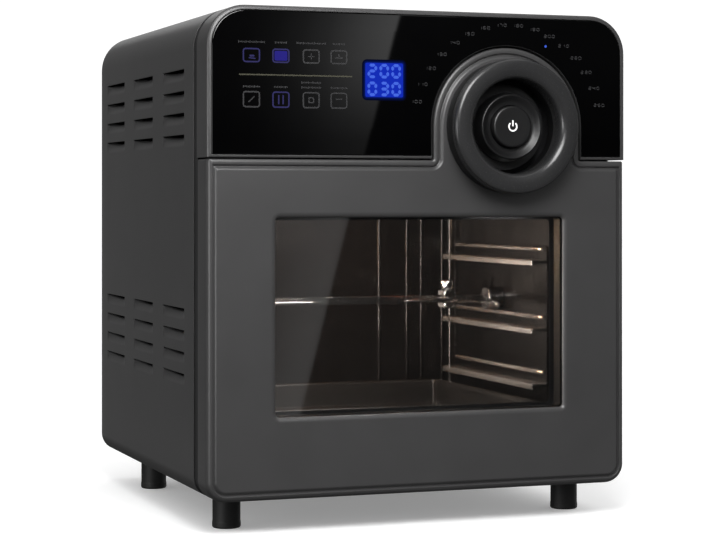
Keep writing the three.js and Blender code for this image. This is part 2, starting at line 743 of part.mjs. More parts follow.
// The turning knob: a wide head with a rounded shoulder on a sleeve.
function makeDial() {
  const shoulder = [];
  for (let step = 0; step <= CORNER_STEPS; step++) {
    const angle = (step / CORNER_STEPS) * (Math.PI / 2);
    shoulder.push([
      DIAL_SHOULDER_RADIUS + (DIAL_RADIUS - DIAL_SHOULDER_RADIUS) * Math.sin(angle),
      DIAL_EDGE_FRONT + (DIAL_FRONT - DIAL_EDGE_FRONT) * Math.cos(angle),
    ]);
  }
  return turnedAboutY(
    [
      [DIAL_BORE_RADIUS, DIAL_FRONT],
      ...shoulder,
      [DIAL_RADIUS, DIAL_HEAD_BACK],
      [DIAL_SLEEVE_RADIUS, DIAL_HEAD_BACK],
      [DIAL_SLEEVE_RADIUS, DIAL_SLEEVE_BACK],
      [DIAL_BORE_RADIUS, DIAL_SLEEVE_BACK],
    ],
    FINE_SIDES,
  );
}

function makeButton() {
  const radius = DIAL_BORE_RADIUS - RUN_GAP;
  return turnedAboutY(
    [
      [0, BUTTON_FRONT],
      [radius - BUTTON_WALL / 2, BUTTON_FRONT],
      [radius, BUTTON_FRONT + BUTTON_WALL / 2],
      [radius, BUTTON_SKIRT_BACK],
      [radius - BUTTON_WALL, BUTTON_SKIRT_BACK],
      [radius - BUTTON_WALL, BUTTON_FRONT + BUTTON_WALL],
      [BUTTON_STEM_RADIUS, BUTTON_FRONT + BUTTON_WALL],
      [BUTTON_STEM_RADIUS, BUTTON_STEM_BACK],
      [0, BUTTON_STEM_BACK],
    ],
  );
}

// The door's outline with its arched lobe, drawn in by an inset.
function doorSlice(inset, span) {
  const below = block(
    [-halfWidth - OVERRUN, halfWidth + OVERRUN],
    [span[0] - OVERRUN, span[1] + OVERRUN],
    [-OVERRUN, DOOR_TOP - inset],
  );
  return drawnOut(bodyOutline(inset), span)
    .intersect(below)
    .add(arch(LOBE_HALF_WIDTH - inset, span, LOBE_ROOT));
}

const windowX = around(0, WINDOW_WIDTH);
const windowZ = [WINDOW_BOTTOM, WINDOW_BOTTOM + WINDOW_HEIGHT];
const paneX = around(0, WINDOW_WIDTH + 2 * PANE_LAP);
const paneZ = [windowZ[0] - PANE_LAP, windowZ[1] + PANE_LAP];
const outerPane = [DOOR_PLATE + FIT_GAP, DOOR_PLATE + FIT_GAP + PANE_THICKNESS];
const spacer = [outerPane[1] + FIT_GAP, outerPane[1] + FIT_GAP + SPACER_DEPTH];
const innerPane = [spacer[1] + FIT_GAP, spacer[1] + FIT_GAP + PANE_THICKNESS];
const liner = [innerPane[1] + FIT_GAP, innerPane[1] + FIT_GAP + SHEET];

function makeDoorPanel() {
  let panel = doorSlice(0, [0, DOOR_DEPTH]).subtract(doorSlice(DOOR_WALL, [DOOR_PLATE, DOOR_DEPTH + OVERRUN]));
  for (const side of Object.values(sides)) {
    for (const z of [LINER_BOTTOM + DOOR_BOSS_INSET, LINER_TOP - DOOR_BOSS_INSET]) {
      const x = side * (LINER_SIDE - DOOR_BOSS_INSET);
      const boss = barAlongY(x, [DOOR_PLATE / 2, liner[0] - FIT_GAP], z, DOOR_BOSS_RADIUS, COARSE_SIDES);
      panel = panel.add(boss);
    }
    const notch = block(
      around(side * HINGE_SIDE, HINGE_NOTCH_WIDTH),
      [HINGE_NOTCH_FRONT, DOOR_DEPTH + OVERRUN],
      [-OVERRUN, DOOR_WALL + FIT_GAP],
    );
    panel = panel.subtract(notch);
  }
  const opening = drawnOut(
    roundedOutline(windowX, windowZ, WINDOW_RADIUS, WINDOW_RADIUS),
    [-OVERRUN, DOOR_PLATE + OVERRUN],
  );
  const eye = barAlongY(
    DIAL_SIDE,
    [-OVERRUN, DOOR_PLATE + OVERRUN],
    DIAL_HEIGHT,
    COLLAR_RADIUS + FIT_GAP,
    FINE_SIDES,
  );
  return cut(panel, opening, eye);
}

function makeWindowPane(span) {
  return block(paneX, span, paneZ);
}

function makeWindowSpacer() {
  const bore = drawnOut(
    roundedOutline(windowX, windowZ, WINDOW_RADIUS, WINDOW_RADIUS),
    [spacer[0] - OVERRUN, spacer[1] + OVERRUN],
  );
  return block(paneX, spacer, paneZ).subtract(bore);
}

function makeDoorLiner() {
  const plate = drawnOut(
    roundedOutline([-LINER_SIDE, LINER_SIDE], [LINER_BOTTOM, LINER_TOP], LINER_RADIUS, LINER_RADIUS),
    liner,
  );
  const lap = LINER_LAP - PANE_LAP;
  const view = drawnOut(
    roundedOutline(
      [windowX[0] + lap, windowX[1] - lap],
      [windowZ[0] + lap, windowZ[1] - lap],
      WINDOW_RADIUS,
      WINDOW_RADIUS,
    ),
    [liner[0] - OVERRUN, liner[1] + OVERRUN],
  );
  return plate.subtract(view);
}

function makeRingHandle() {
  const outer = [];
  for (let step = 0; step <= CORNER_STEPS; step++) {
    const angle = (step / CORNER_STEPS) * (Math.PI / 2);
    outer.push([
      RING_RADIUS - RING_EDGE * (1 - Math.sin(angle)),
      -HANDLE_REACH + RING_EDGE * (1 - Math.cos(angle)),
    ]);
  }
  return turnedAboutY(
    [
      [RING_BORE_RADIUS, RING_INNER_EDGE - HANDLE_REACH],
      [RING_BORE_RADIUS + RING_INNER_EDGE, -HANDLE_REACH],
      ...outer,
      [RING_RADIUS, -FIT_GAP],
      [COLLAR_RADIUS, -FIT_GAP],
      [COLLAR_RADIUS, COLLAR_BACK],
      [RING_BORE_RADIUS, COLLAR_BACK],
    ],
    FINE_SIDES,
  );
}

// A bracket on the front frame whose nose holds the hinge pin; its origin is on the pin's axis.
function makeHingeBracket() {
  const back = frameFront - FIT_GAP - HINGE_DEPTH;
  const width = around(0, HINGE_BRACKET_WIDTH);
  return cut(
    join(
      barAlongX(width, 0, 0, HINGE_NOSE_RADIUS, COARSE_SIDES),
      block(width, [0, back], around(0, 2 * HINGE_NOSE_RADIUS)),
      block(
        around(0, HINGE_FLANGE_WIDTH),
        [back - SHEET, back],
        [-HINGE_NOSE_RADIUS, HINGE_FLANGE_HEIGHT - HINGE_NOSE_RADIUS],
      ),
    ),
    barAlongX(around(0, HINGE_BRACKET_WIDTH + OVERRUN), 0, 0, HINGE_PIN_RADIUS + BORE_GAP, COARSE_SIDES),
  );
}

function makeHingePin() {
  return barAlongX(around(0, HINGE_PIN_LENGTH), 0, 0, HINGE_PIN_RADIUS, COARSE_SIDES);
}

// A clevis inside the door whose two ears turn on the hinge pin; its origin is on the pin's axis.
function makeHingeClevis() {
  const front = DOOR_PLATE + FIT_GAP - HINGE_DEPTH;
  const base = front + SHEET;
  const half = CLEVIS_GAP / 2;
  const bottom = DOOR_WALL + FIT_GAP - HINGE_HEIGHT;
  const ears = [-1, 1].map((side) => {
    const width = side < 0 ? [-half - CLEVIS_EAR, -half] : [half, half + CLEVIS_EAR];
    return barAlongX(width, 0, 0, CLEVIS_EAR_RADIUS, COARSE_SIDES).add(
      block(width, [front, 0], around(0, 2 * CLEVIS_EAR_RADIUS)),
    );
  });
  const plate = block(
    [-half - CLEVIS_EAR, half + CLEVIS_EAR],
    [front, base],
    [bottom, bottom + CLEVIS_BASE_HEIGHT],
  );
  const bore = barAlongX(
    around(0, CLEVIS_GAP + 2 * CLEVIS_EAR + OVERRUN),
    0,
    0,
    HINGE_PIN_RADIUS + RUN_GAP,
    COARSE_SIDES,
  );
  return join(plate, ...ears).subtract(bore);
}

const chamberX = around(0, CHAMBER_WIDTH);
const chamberZ = [CHAMBER_BOTTOM, CHAMBER_BOTTOM + CHAMBER_HEIGHT];
const chamberRear = CHAMBER_FRONT + CHAMBER_DEPTH;
const chamberTop = chamberZ[1] + SHEET;

function makeChamber() {
  const whole = block(
    around(0, CHAMBER_WIDTH + 2 * SHEET),
    [CHAMBER_FRONT, chamberRear + SHEET],
    [chamberZ[0] - SHEET, chamberTop],
  );
  return cut(
    whole,
    block(chamberX, [CHAMBER_FRONT - OVERRUN, chamberRear], chamberZ),
    barAlongZ(0, FAN_DEPTH, [chamberZ[1] - OVERRUN, chamberTop + OVERRUN], DOME_RADIUS, FINE_SIDES),
    barAlongX(
      around(CHAMBER_WIDTH / 2, SHEET + OVERRUN),
      SPIT_DEPTH,
      SPIT_HEIGHT,
      SOCKET_SHAFT_RADIUS + RUN_GAP,
      COARSE_SIDES,
    ),
    barAlongY(LAMP_SIDE, around(chamberRear, OVERRUN), LAMP_HEIGHT, LAMP_HOLE_RADIUS),
  );
}

// A side plate with three ledges, and a window for the spit's end.
function makeRackRail(side) {
  const outer = side * (CHAMBER_WIDTH / 2 - FIT_GAP);
  const inner = outer - side * RAIL_PLATE;
  const length = [RAIL_FRONT, RAIL_FRONT + RAIL_LENGTH];
  const plate = block([inner, outer], length, [RAIL_BOTTOM, RAIL_TOP]);
  const ledges = RAIL_HEIGHTS.map((height) =>
    block([inner - side * RAIL_LEDGE, outer], length, [height, height + RAIL_PLATE]),
  );
  const window = block(
    around(side * (CHAMBER_WIDTH / 2), OVERRUN),
    around(SPIT_DEPTH, RAIL_WINDOW),
    around(SPIT_HEIGHT, RAIL_WINDOW),
  );
  return join(plate, ...ledges).subtract(window);
}

function makeDripTray() {
  const half = CHAMBER_WIDTH / 2 - TRAY_SIDE_GAP;
  const span = [CHAMBER_FRONT + TRAY_FRONT_GAP, chamberRear - TRAY_FRONT_GAP];
  const bottom = CHAMBER_BOTTOM + FIT_GAP;
  const top = bottom + TRAY_HEIGHT;
  const tub = block([TRAY_RIM - half, half - TRAY_RIM], [span[0] + TRAY_RIM, span[1] - TRAY_RIM], [bottom, top]);
  const rim = block([-half, half], span, [top - SHEET, top]);
  const hollow = block(
    [TRAY_RIM + SHEET - half, half - TRAY_RIM - SHEET],
    [span[0] + TRAY_RIM + SHEET, span[1] - TRAY_RIM - SHEET],
    [bottom + SHEET, top + OVERRUN],
  );
  return tub.add(rim).subtract(hollow);
}

function makeDoorSeal() {
  const span = [liner[1] + RUN_GAP, frameFront - FIT_GAP];
  const loop = (inset) => {
    const x = around(0, CHAMBER_WIDTH + 2 * (SEAL_GAP + inset));
    const z = [chamberZ[0] - SEAL_GAP - inset, chamberZ[1] + SEAL_GAP + inset];
    return roundedOutline(x, z, SEAL_RADIUS, SEAL_RADIUS);
  };
  return drawnOut(loop(SEAL_WALL), span).subtract(drawnOut(loop(0), [span[0] - OVERRUN, span[1] + OVERRUN]));
}

// Round the spit's axis, in its own frame: X along the spit.
const chamberHalf = CHAMBER_WIDTH / 2;
const socketFace = chamberHalf - SOCKET_HEAD_LENGTH;
const socketShoulder = chamberHalf - 2 * FIT_GAP;
const spitRight = socketFace + SOCKET_BORE_LENGTH - SPIT_END_GAP;
const journalLeft = RUN_GAP - chamberHalf;

function makeDriveSocket() {
  const head = barAlongX([socketFace, socketShoulder], 0, 0, SOCKET_HEAD_RADIUS);
  const shaft = barAlongX([socketFace, chamberHalf + SOCKET_SHAFT_LENGTH], 0, 0, SOCKET_SHAFT_RADIUS, COARSE_SIDES);
  const side = SPIT_SIDE + 2 * FIT_GAP;
  const bore = block([socketFace - OVERRUN, socketFace + SOCKET_BORE_LENGTH], around(0, side), around(0, side));
  return head.add(shaft).subtract(bore);
}

function makeSpitMotor() {
  const left = chamberHalf + SHEET + FIT_GAP;
  const body = block([left, left + SPIT_MOTOR_WIDTH], around(0, SPIT_MOTOR_SIZE), around(0, SPIT_MOTOR_SIZE));
  const span = [left - OVERRUN, left + SPIT_MOTOR_WIDTH + OVERRUN];
  return body.subtract(barAlongX(span, 0, 0, SOCKET_SHAFT_RADIUS + RUN_GAP, COARSE_SIDES));
}

function makeSpitRest() {
  const left = FIT_GAP - chamberHalf;
  const body = block([left, left + REST_WIDTH], around(0, REST_LENGTH), [-REST_DROP, REST_RISE]);
  const span = [left - OVERRUN, left + REST_WIDTH + OVERRUN];
  const notchWidth = 2 * (SPIT_JOURNAL_RADIUS + FIT_GAP);
  const notch = block(span, around(0, notchWidth), [0, REST_RISE + OVERRUN]);
  return cut(body, notch, barAlongX(span, 0, 0, SPIT_JOURNAL_RADIUS + FIT_GAP, COARSE_SIDES));
}

function makeSpitRod() {
  const squareLeft = journalLeft + SPIT_JOURNAL_LENGTH;
  const journal = barAlongX([journalLeft, squareLeft + SPIT_SIDE], 0, 0, SPIT_JOURNAL_RADIUS, COARSE_SIDES);
  return journal.add(block([squareLeft, spitRight], around(0, SPIT_SIDE), around(0, SPIT_SIDE)));
}

// A fork whose prongs point to the chamber's middle; its origin is at its hub's centre.
function makeFork(side) {
  const hub = block(around(0, FORK_HUB_WIDTH), around(0, FORK_HUB), around(0, FORK_HUB));
  const arm = block(around(0, FORK_ARM), around(0, 2 * FORK_SPREAD + FORK_ARM), around(0, FORK_ARM));
  const reach = side < 0 ? [0, PRONG_LENGTH] : [-PRONG_LENGTH, 0];
  const prongs = [-1, 1].map((hand) =>
    barAlongX(reach, hand * FORK_SPREAD, 0, PRONG_RADIUS, TUBE_SIDES),
  );
  const bore = SPIT_SIDE + 2 * FIT_GAP;
  return cut(
    join(hub, arm, ...prongs),
    block(around(0, FORK_HUB_WIDTH + OVERRUN), around(0, bore), around(0, bore)),
    barAlongZ(0, 0, [0, FORK_HUB], THUMBSCREW_SHANK + BORE_GAP, COARSE_SIDES),
  );
}

function makeThumbscrew() {
  const seat = FORK_HUB / 2 + FIT_GAP;
  const head = barAlongZ(0, 0, [seat, seat + THUMBSCREW_HEIGHT], THUMBSCREW_RADIUS, COARSE_SIDES);
  return head.add(barAlongZ(0, 0, [seat - THUMBSCREW_BITE, seat + THUMBSCREW_BITE], THUMBSCREW_SHANK, COARSE_SIDES));
}

// Round the fan's axis, in its own frame: Z up from the top of the chamber's wall.
const domeTop = FIT_GAP + DOME_HEIGHT;

function makeHeatDome() {
  const flange = DOME_RADIUS + DOME_FLANGE;
  const hole = SHAFT_RADIUS + 2 * RUN_GAP;
  const dome = turnedAboutZ(
    [
      [DOME_RADIUS, FIT_GAP],
      [flange, FIT_GAP],
      [flange, FIT_GAP + SHEET],
      [DOME_RADIUS + SHEET, FIT_GAP + SHEET],
      [DOME_RADIUS + SHEET, domeTop],
      [hole, domeTop],
      [hole, domeTop - SHEET],
      [DOME_RADIUS, domeTop - SHEET],
    ],
    FINE_SIDES,
  );
  const legs = [ELEMENT_OUTER, ELEMENT_INNER].map((y) =>
    barAlongZ(0, y, around(domeTop, OVERRUN), ELEMENT_TUBE + RUN_GAP, COARSE_SIDES),
  );
  return cut(dome, ...legs);
}

function makeElementGuard() {
  const top = -SHEET - FIT_GAP;
  let guard = barAlongZ(0, 0, [top - SHEET, top], GUARD_RADIUS, FINE_SIDES);
  for (let slot = 0; slot < GUARD_SLOTS; slot++) {
    const geometry = new THREE.BoxGeometry(GUARD_SLOT_OUTER - GUARD_SLOT_INNER, GUARD_SLOT_WIDTH, OVERRUN);
    geometry.translate((GUARD_SLOT_INNER + GUARD_SLOT_OUTER) / 2, 0, top);
    geometry.rotateZ((2 * Math.PI * slot) / GUARD_SLOTS);
    guard = guard.subtract(solidFrom(geometry));
  }
  return guard;
}

// The element's centre line: down one leg, round two turns that draw in, and up the other leg.
function elementPath() {
  const points = [];
  for (const rise of [ELEMENT_LEG, ELEMENT_LEG / 2]) {
    points.push(new THREE.Vector3(0, ELEMENT_OUTER, ELEMENT_RISE + rise));
  }
  const steps = ELEMENT_TURNS * ROUND_SIDES;
  for (let step = 0; step <= steps; step++) {
    const share = step / steps;
    const angle = Math.PI / 2 + 2 * Math.PI * ELEMENT_TURNS * share;
    const radius = ELEMENT_OUTER + (ELEMENT_INNER - ELEMENT_OUTER) * share;
    points.push(new THREE.Vector3(radius * Math.cos(angle), radius * Math.sin(angle), ELEMENT_RISE));
  }
  for (const rise of [ELEMENT_LEG / 2, ELEMENT_LEG]) {
    points.push(new THREE.Vector3(0, ELEMENT_INNER, ELEMENT_RISE + rise));
  }
  return points;
}

function makeHeatingElement() {
  const points = elementPath();
  const section = new THREE.Shape();
  section.absarc(0, 0, ELEMENT_TUBE, 0, 2 * Math.PI);
  const geometry = new THREE.ExtrudeGeometry(section, {
    steps: points.length,
    curveSegments: TUBE_SIDES / 2,
    extrudePath: new THREE.CatmullRomCurve3(points),
  });
  return solidFrom(geometry);
}

function makeShaft() {
  return barAlongZ(0, 0, [SHAFT_BELOW, SHAFT_BELOW + SHAFT_LENGTH], SHAFT_RADIUS, COARSE_SIDES);
}

// A wheel of tilted blades on a hub.
function makeFanWheel(radius, rise, height, blades) {
  let wheel = barAlongZ(0, 0, [rise, rise + height], HUB_RADIUS, ROUND_SIDES);
  for (let blade = 0; blade < blades; blade++) {
    const span = radius - HUB_RADIUS / 2;
    const geometry = new THREE.BoxGeometry(span, BLADE_THICKNESS, height);
    geometry.rotateX(BLADE_TILT);
    geometry.translate(radius - span / 2, 0, rise + height / 2);
    geometry.rotateZ((2 * Math.PI * blade) / blades);
    wheel = wheel.add(solidFrom(geometry));
  }
  return wheel.subtract(
    barAlongZ(0, 0, [rise - OVERRUN, rise + height + OVERRUN], SHAFT_RADIUS + BORE_GAP, COARSE_SIDES),
  );
}

const strapTop = STRAP_RISE + STRAP_THICKNESS;

function makeMotorBracket() {
  const width = around(0, STRAP_WIDTH);
  const bridge = block([-STRAP_SIDE, STRAP_SIDE], width, [STRAP_RISE, strapTop]);
  const legs = Object.values(sides).map((side) => {
    const leg = [side * STRAP_SIDE, side * (STRAP_SIDE - STRAP_THICKNESS)];
    return block(leg, width, [FIT_GAP, strapTop]);
  });
  const hole = barAlongZ(0, 0, around(strapTop, OVERRUN), MOTOR_BOSS_RADIUS + RUN_GAP);
  return join(bridge, ...legs).subtract(hole);
}

function makeFanMotor() {
  const bottom = strapTop + FIT_GAP;
  const can = barAlongZ(0, 0, [bottom, bottom + MOTOR_HEIGHT], MOTOR_RADIUS, ROUND_SIDES);
  const boss = barAlongZ(0, 0, [bottom - MOTOR_BOSS_HEIGHT, bottom + MOTOR_HEIGHT], MOTOR_BOSS_RADIUS);
  const span = [bottom - OVERRUN, bottom + MOTOR_HEIGHT + OVERRUN];
  return can.add(boss).subtract(barAlongZ(0, 0, span, SHAFT_RADIUS + RUN_GAP, COARSE_SIDES));
}

// Round the lamp's axis, in its own frame: Y back from the chamber's rear wall.
function makeLampHolder() {
  const front = SHEET + FIT_GAP;
  const back = front + LAMP_CUP_DEPTH;
  const bore = LAMP_HOLE_RADIUS;
  return turnedAboutY(
    [
      [bore, front],
      [bore + 2 * SHEET, front],
      [bore + 2 * SHEET, back],
      [0, back],
      [0, back - LAMP_SOCKET_DEPTH],
      [LAMP_SOCKET_RADIUS, back - LAMP_SOCKET_DEPTH],
      [LAMP_SOCKET_RADIUS, back - SHEET],
      [bore, back - SHEET],
    ],
  );
}

function makeBulb() {
  const back = SHEET + LAMP_CUP_DEPTH - LAMP_SOCKET_DEPTH;
  const dome = [];
  for (let step = 0; step <= CORNER_STEPS; step++) {
    const angle = (step / CORNER_STEPS) * (Math.PI / 2);
    dome.push([BULB_RADIUS * Math.sin(angle), back - BULB_LENGTH + BULB_RADIUS * (1 - Math.cos(angle))]);
  }
  return turnedAboutY([...dome, [BULB_RADIUS, back], [0, back]]);
}

function makeLampLens() {
  const back = -FIT_GAP;
  return barAlongY(0, [back - LAMP_LENS_THICKNESS, back], 0, LAMP_LENS_RADIUS);
}

function makeDoorSwitch() {
  const span = [frameBack + FIT_GAP, frameBack + FIT_GAP + SWITCH_DEPTH];
  const body = block(around(SWITCH_SIDE, SWITCH_SIZE), span, around(SWITCH_HEIGHT, SWITCH_SIZE));
  const through = [span[0] - OVERRUN, span[1] + OVERRUN];
  return body.subtract(barAlongY(SWITCH_SIDE, through, SWITCH_HEIGHT, switchHoleRadius, COARSE_SIDES));
}

function makePlunger() {
  const front = liner[1] + RUN_GAP;
  return barAlongY(SWITCH_SIDE, [front, front + PLUNGER_LENGTH], SWITCH_HEIGHT, PLUNGER_RADIUS, COARSE_SIDES);
}

// The bushing that a supply cord would pass; its origin is on the rear cover's outer face.
function makeCordInlet() {
  const back = REAR_INSET - FIT_GAP;
  return turnedAboutY(
    [
      [INLET_BORE_RADIUS, -INLET_LENGTH],
      [INLET_RADIUS, -INLET_LENGTH],
      [INLET_RADIUS, FIT_GAP],
      [INLET_FLANGE_RADIUS, FIT_GAP],
      [INLET_FLANGE_RADIUS, back],
      [INLET_BORE_RADIUS, back],
    ],
  );
}

// A group in the body's frame: X across, Y back from the door's front face, Z up from the body's underside.
function addGroup(parent, x, y, z) {
  const group = new THREE.Group();
  group.position.set(x, y, z);
  parent.add(group);
  return group;
}

function addCasing(body) {
  addPiece(body, "outer_cover", makeOuterCover(), PAINT);
  addPiece(body, "rear_cover", makeRearCover(), DARK_SHEET);
  addPiece(body, "base_pan", makeBasePan(), DARK_SHEET);
  addPiece(body, "front_frame", makeFrontFrame(), DARK_SHEET);
  const screwNames = ["low_left", "low_right", "high_left", "high_right"];
  rearScrewPlaces.forEach(([x, z], index) => {
    const screw = addPiece(body, `rear_screw_${screwNames[index]}`, makeScrew(), STEEL);
    screw.position.set(x, rearBack + FIT_GAP, z);
  });
  const footDepths = { front: FOOT_FRONT_DEPTH, rear: FOOT_REAR_DEPTH };
  for (const [end, depth] of Object.entries(footDepths)) {
    for (const [hand, side] of Object.entries(sides)) {
      const foot = addPiece(body, `foot_${end}_${hand}`, makeFoot(), RUBBER);
      foot.position.set(side * FOOT_SIDE, depth, panBottom - FIT_GAP);
    }
  }
  const inlet = addPiece(body, "cord_inlet", makeCordInlet(), RUBBER);
  inlet.position.set(INLET_SIDE, rearBack, INLET_HEIGHT);
}

function addControlHead(body, dialAxis) {
  addPiece(body, "control_housing", makeControlHousing(), PAINT);
  addPiece(body, "control_glass", makeControlGlass(), BLACK_GLASS);
  addPiece(body, "display_module", makeDisplayModule(), DISPLAY_BLUE);
  addPiece(body, "control_board", makeControlBoard(), BOARD_GREEN);
  addPiece(body, "power_board", makePowerBoard(), BOARD_GREEN);
  addPiece(dialAxis, "dial_housing", makeDialHousing(), BLACK_PLASTIC);
  addPiece(dialAxis, "dial_encoder", makeEncoder(), DARK_SHEET);
  addPiece(dialAxis, "dial_knob", makeDial(), BLACK_PLASTIC);
  addPiece(dialAxis, "power_button", makeButton(), BLACK_PLASTIC);
}

function addDoor(body, dialAxis) {
  const door = addGroup(body, 0, 0, 0);
  addPiece(door, "door_panel", makeDoorPanel(), PAINT);
  addPiece(door, "window_outer_pane", makeWindowPane(outerPane), CLEAR_GLASS);
  addPiece(door, "window_spacer", makeWindowSpacer(), DARK_SHEET);
  addPiece(door, "window_inner_pane", makeWindowPane(innerPane), CLEAR_GLASS);
  addPiece(door, "door_liner", makeDoorLiner(), STEEL);
  addPiece(dialAxis, "ring_handle", makeRingHandle(), PAINT);
  for (const [hand, side] of Object.entries(sides)) {
    const hinge = addGroup(body, side * HINGE_SIDE, HINGE_DEPTH, HINGE_HEIGHT);
    addPiece(hinge, `hinge_bracket_${hand}`, makeHingeBracket(), STEEL);
    addPiece(hinge, `hinge_pin_${hand}`, makeHingePin(), STEEL);
    addPiece(hinge, `hinge_clevis_${hand}`, makeHingeClevis(), STEEL);
  }
  addPiece(body, "door_switch", makeDoorSwitch(), BLACK_PLASTIC);
  addPiece(body, "switch_plunger", makePlunger(), STEEL);
  addPiece(body, "door_seal", makeDoorSeal(), RUBBER);
}

function addChamber(body) {
  addPiece(body, "oven_chamber", makeChamber(), STEEL);
  for (const [hand, side] of Object.entries(sides)) {
    addPiece(body, `rack_rail_${hand}`, makeRackRail(side), STEEL);
  }
  addPiece(body, "drip_tray", makeDripTray(), DARK_SHEET);
  const lampAxis = addGroup(body, LAMP_SIDE, chamberRear, LAMP_HEIGHT);
  addPiece(lampAxis, "lamp_holder", makeLampHolder(), STEEL);
  addPiece(lampAxis, "oven_lamp", makeBulb(), CLEAR_GLASS);
  addPiece(lampAxis, "lamp_lens", makeLampLens(), CLEAR_GLASS);
}

function addRotisserie(body) {
  const spitAxis = addGroup(body, 0, SPIT_DEPTH, SPIT_HEIGHT);
  addPiece(spitAxis, "rotisserie_motor", makeSpitMotor(), MOTOR_STEEL);
  addPiece(spitAxis, "drive_socket", makeDriveSocket(), STEEL);
  addPiece(spitAxis, "spit_rest", makeSpitRest(), STEEL);
  addPiece(spitAxis, "spit_rod", makeSpitRod(), STEEL);
  for (const [hand, side] of Object.entries(sides)) {
    const place = addGroup(spitAxis, side * FORK_SIDE, 0, 0);
    addPiece(place, `fork_${hand}`, makeFork(side), STEEL);
    addPiece(place, `fork_screw_${hand}`, makeThumbscrew(), STEEL);
  }
}

function addHeaterAndFans(body) {
  const fanAxis = addGroup(body, 0, FAN_DEPTH, chamberTop);
  addPiece(fanAxis, "heat_dome", makeHeatDome(), STEEL);
  addPiece(fanAxis, "element_guard", makeElementGuard(), STEEL);
  addPiece(fanAxis, "heating_element", makeHeatingElement(), DARK_SHEET);
  addPiece(fanAxis, "motor_bracket", makeMotorBracket(), STEEL);
  addPiece(fanAxis, "fan_motor", makeFanMotor(), MOTOR_STEEL);
  addPiece(fanAxis, "motor_shaft", makeShaft(), STEEL);
  addPiece(
    fanAxis,
    "convection_fan",
    makeFanWheel(WHEEL_RADIUS, WHEEL_RISE, WHEEL_HEIGHT, WHEEL_BLADES),
    STEEL,
  );
  addPiece(
    fanAxis,
    "cooling_fan",
    makeFanWheel(COOLER_RADIUS, COOLER_RISE, COOLER_HEIGHT, COOLER_BLADES),
    BLACK_PLASTIC,
  );
}

const group = new THREE.Group();
const body = addGroup(group, 0, HANDLE_REACH - (BODY_DEPTH + HANDLE_REACH) / 2, FOOT_HEIGHT);
const dialAxis = addGroup(body, DIAL_SIDE, 0, DIAL_HEIGHT);
addCasing(body);
addControlHead(body, dialAxis);
addDoor(body, dialAxis);
addChamber(body);
addRotisserie(body);
addHeaterAndFans(body);

export default group;
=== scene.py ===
import json
import math

import bmesh
import bpy
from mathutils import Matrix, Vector
from mathutils.geometry import delaunay_2d_cdt

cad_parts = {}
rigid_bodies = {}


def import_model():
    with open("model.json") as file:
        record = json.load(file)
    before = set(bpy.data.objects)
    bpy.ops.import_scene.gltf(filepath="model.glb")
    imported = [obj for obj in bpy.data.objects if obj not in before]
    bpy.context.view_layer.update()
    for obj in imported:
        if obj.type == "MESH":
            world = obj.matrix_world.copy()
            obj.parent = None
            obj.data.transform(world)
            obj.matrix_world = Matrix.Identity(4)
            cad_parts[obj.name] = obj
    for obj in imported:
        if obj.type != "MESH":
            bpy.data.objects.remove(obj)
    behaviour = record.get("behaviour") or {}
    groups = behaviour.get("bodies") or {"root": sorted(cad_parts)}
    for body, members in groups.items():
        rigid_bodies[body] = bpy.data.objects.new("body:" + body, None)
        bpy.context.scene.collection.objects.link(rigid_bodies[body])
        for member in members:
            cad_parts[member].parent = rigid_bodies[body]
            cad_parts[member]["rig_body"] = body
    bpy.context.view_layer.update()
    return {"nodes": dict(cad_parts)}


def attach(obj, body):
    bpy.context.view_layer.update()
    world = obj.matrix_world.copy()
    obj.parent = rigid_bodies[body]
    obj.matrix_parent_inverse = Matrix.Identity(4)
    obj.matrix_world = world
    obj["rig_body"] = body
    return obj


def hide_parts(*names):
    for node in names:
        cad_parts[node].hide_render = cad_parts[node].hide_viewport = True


MILLIMETRE = 0.001
SHELL_SHIFT = -153.0
FOOT_HEIGHT = 24.0
SIDES = (("left", -1), ("right", 1))

# Body
HALF_WIDTH = 160.0
BODY_HEIGHT = 344.0
BODY_BACK = 326.0
TOP_RADIUS = 28.0
BOTTOM_RADIUS = 14.0
SHEET = 1.2
COVER_FRONT = 34.5
COVER_FOOT = 144.0
FLANGE_FRONT = 26.0
FLANGE_BACK = 37.0
FLANGE_DRAWS = (0.9, 2.2)

# Control head and the dial's axis
HEAD_BOTTOM = 238.2
HEAD_BACK = 25.75
HEAD_CORNER = 0.4
DIAL_X = 65.25
DIAL_Z = 261.5
ARCH_HALF = 58.5
GLASS_FRONT = 0.25
GLASS_GAP = 0.2
LEDGE = 2.0
LEDGE_FRONT = 3.5
LEDGE_BACK = 23.75

# Door
DOOR_TOP = 237.25
DOOR_BACK = 23.5
DOOR_PLATE = 2.5
DOOR_CORNER = 1.5
LOBE_HALF = 57.25
WINDOW_HALF = 110.0
WINDOW_LOW = 57.5
WINDOW_HIGH = 196.5
EYE_RADIUS = 36.75
HINGE_X = 140.0
NOTCH_HALF = 4.25
NOTCH_FRONT = 6.5
NOTCH_LOW = -1.0
NOTCH_TOP = 2.25

# Chamber
CHAMBER_HALF = 126.0
CHAMBER_FRONT = 28.0
CHAMBER_BACK = 252.0
CHAMBER_LOW = 36.0
CHAMBER_HIGH = 214.0
CHAMBER_ROUND = 5.0
SPIT_Y = 150.0
SPIT_Z = 130.0
FAN_Y = 140.0
LAMP_X = -85.0
LAMP_Z = 178.0

# Rear
REAR_FRONT = 322.0
REAR_BACK = 323.5
REAR_SCREW_X = 136.0
REAR_SCREW_LEVELS = {"low": 22.0, "high": 316.0}

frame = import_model()
materials = {}


# Materials
PATCH_SPAN = (0.3, 0.7)
MARK_GRAIN = (0.05, 600.0, 0.002)


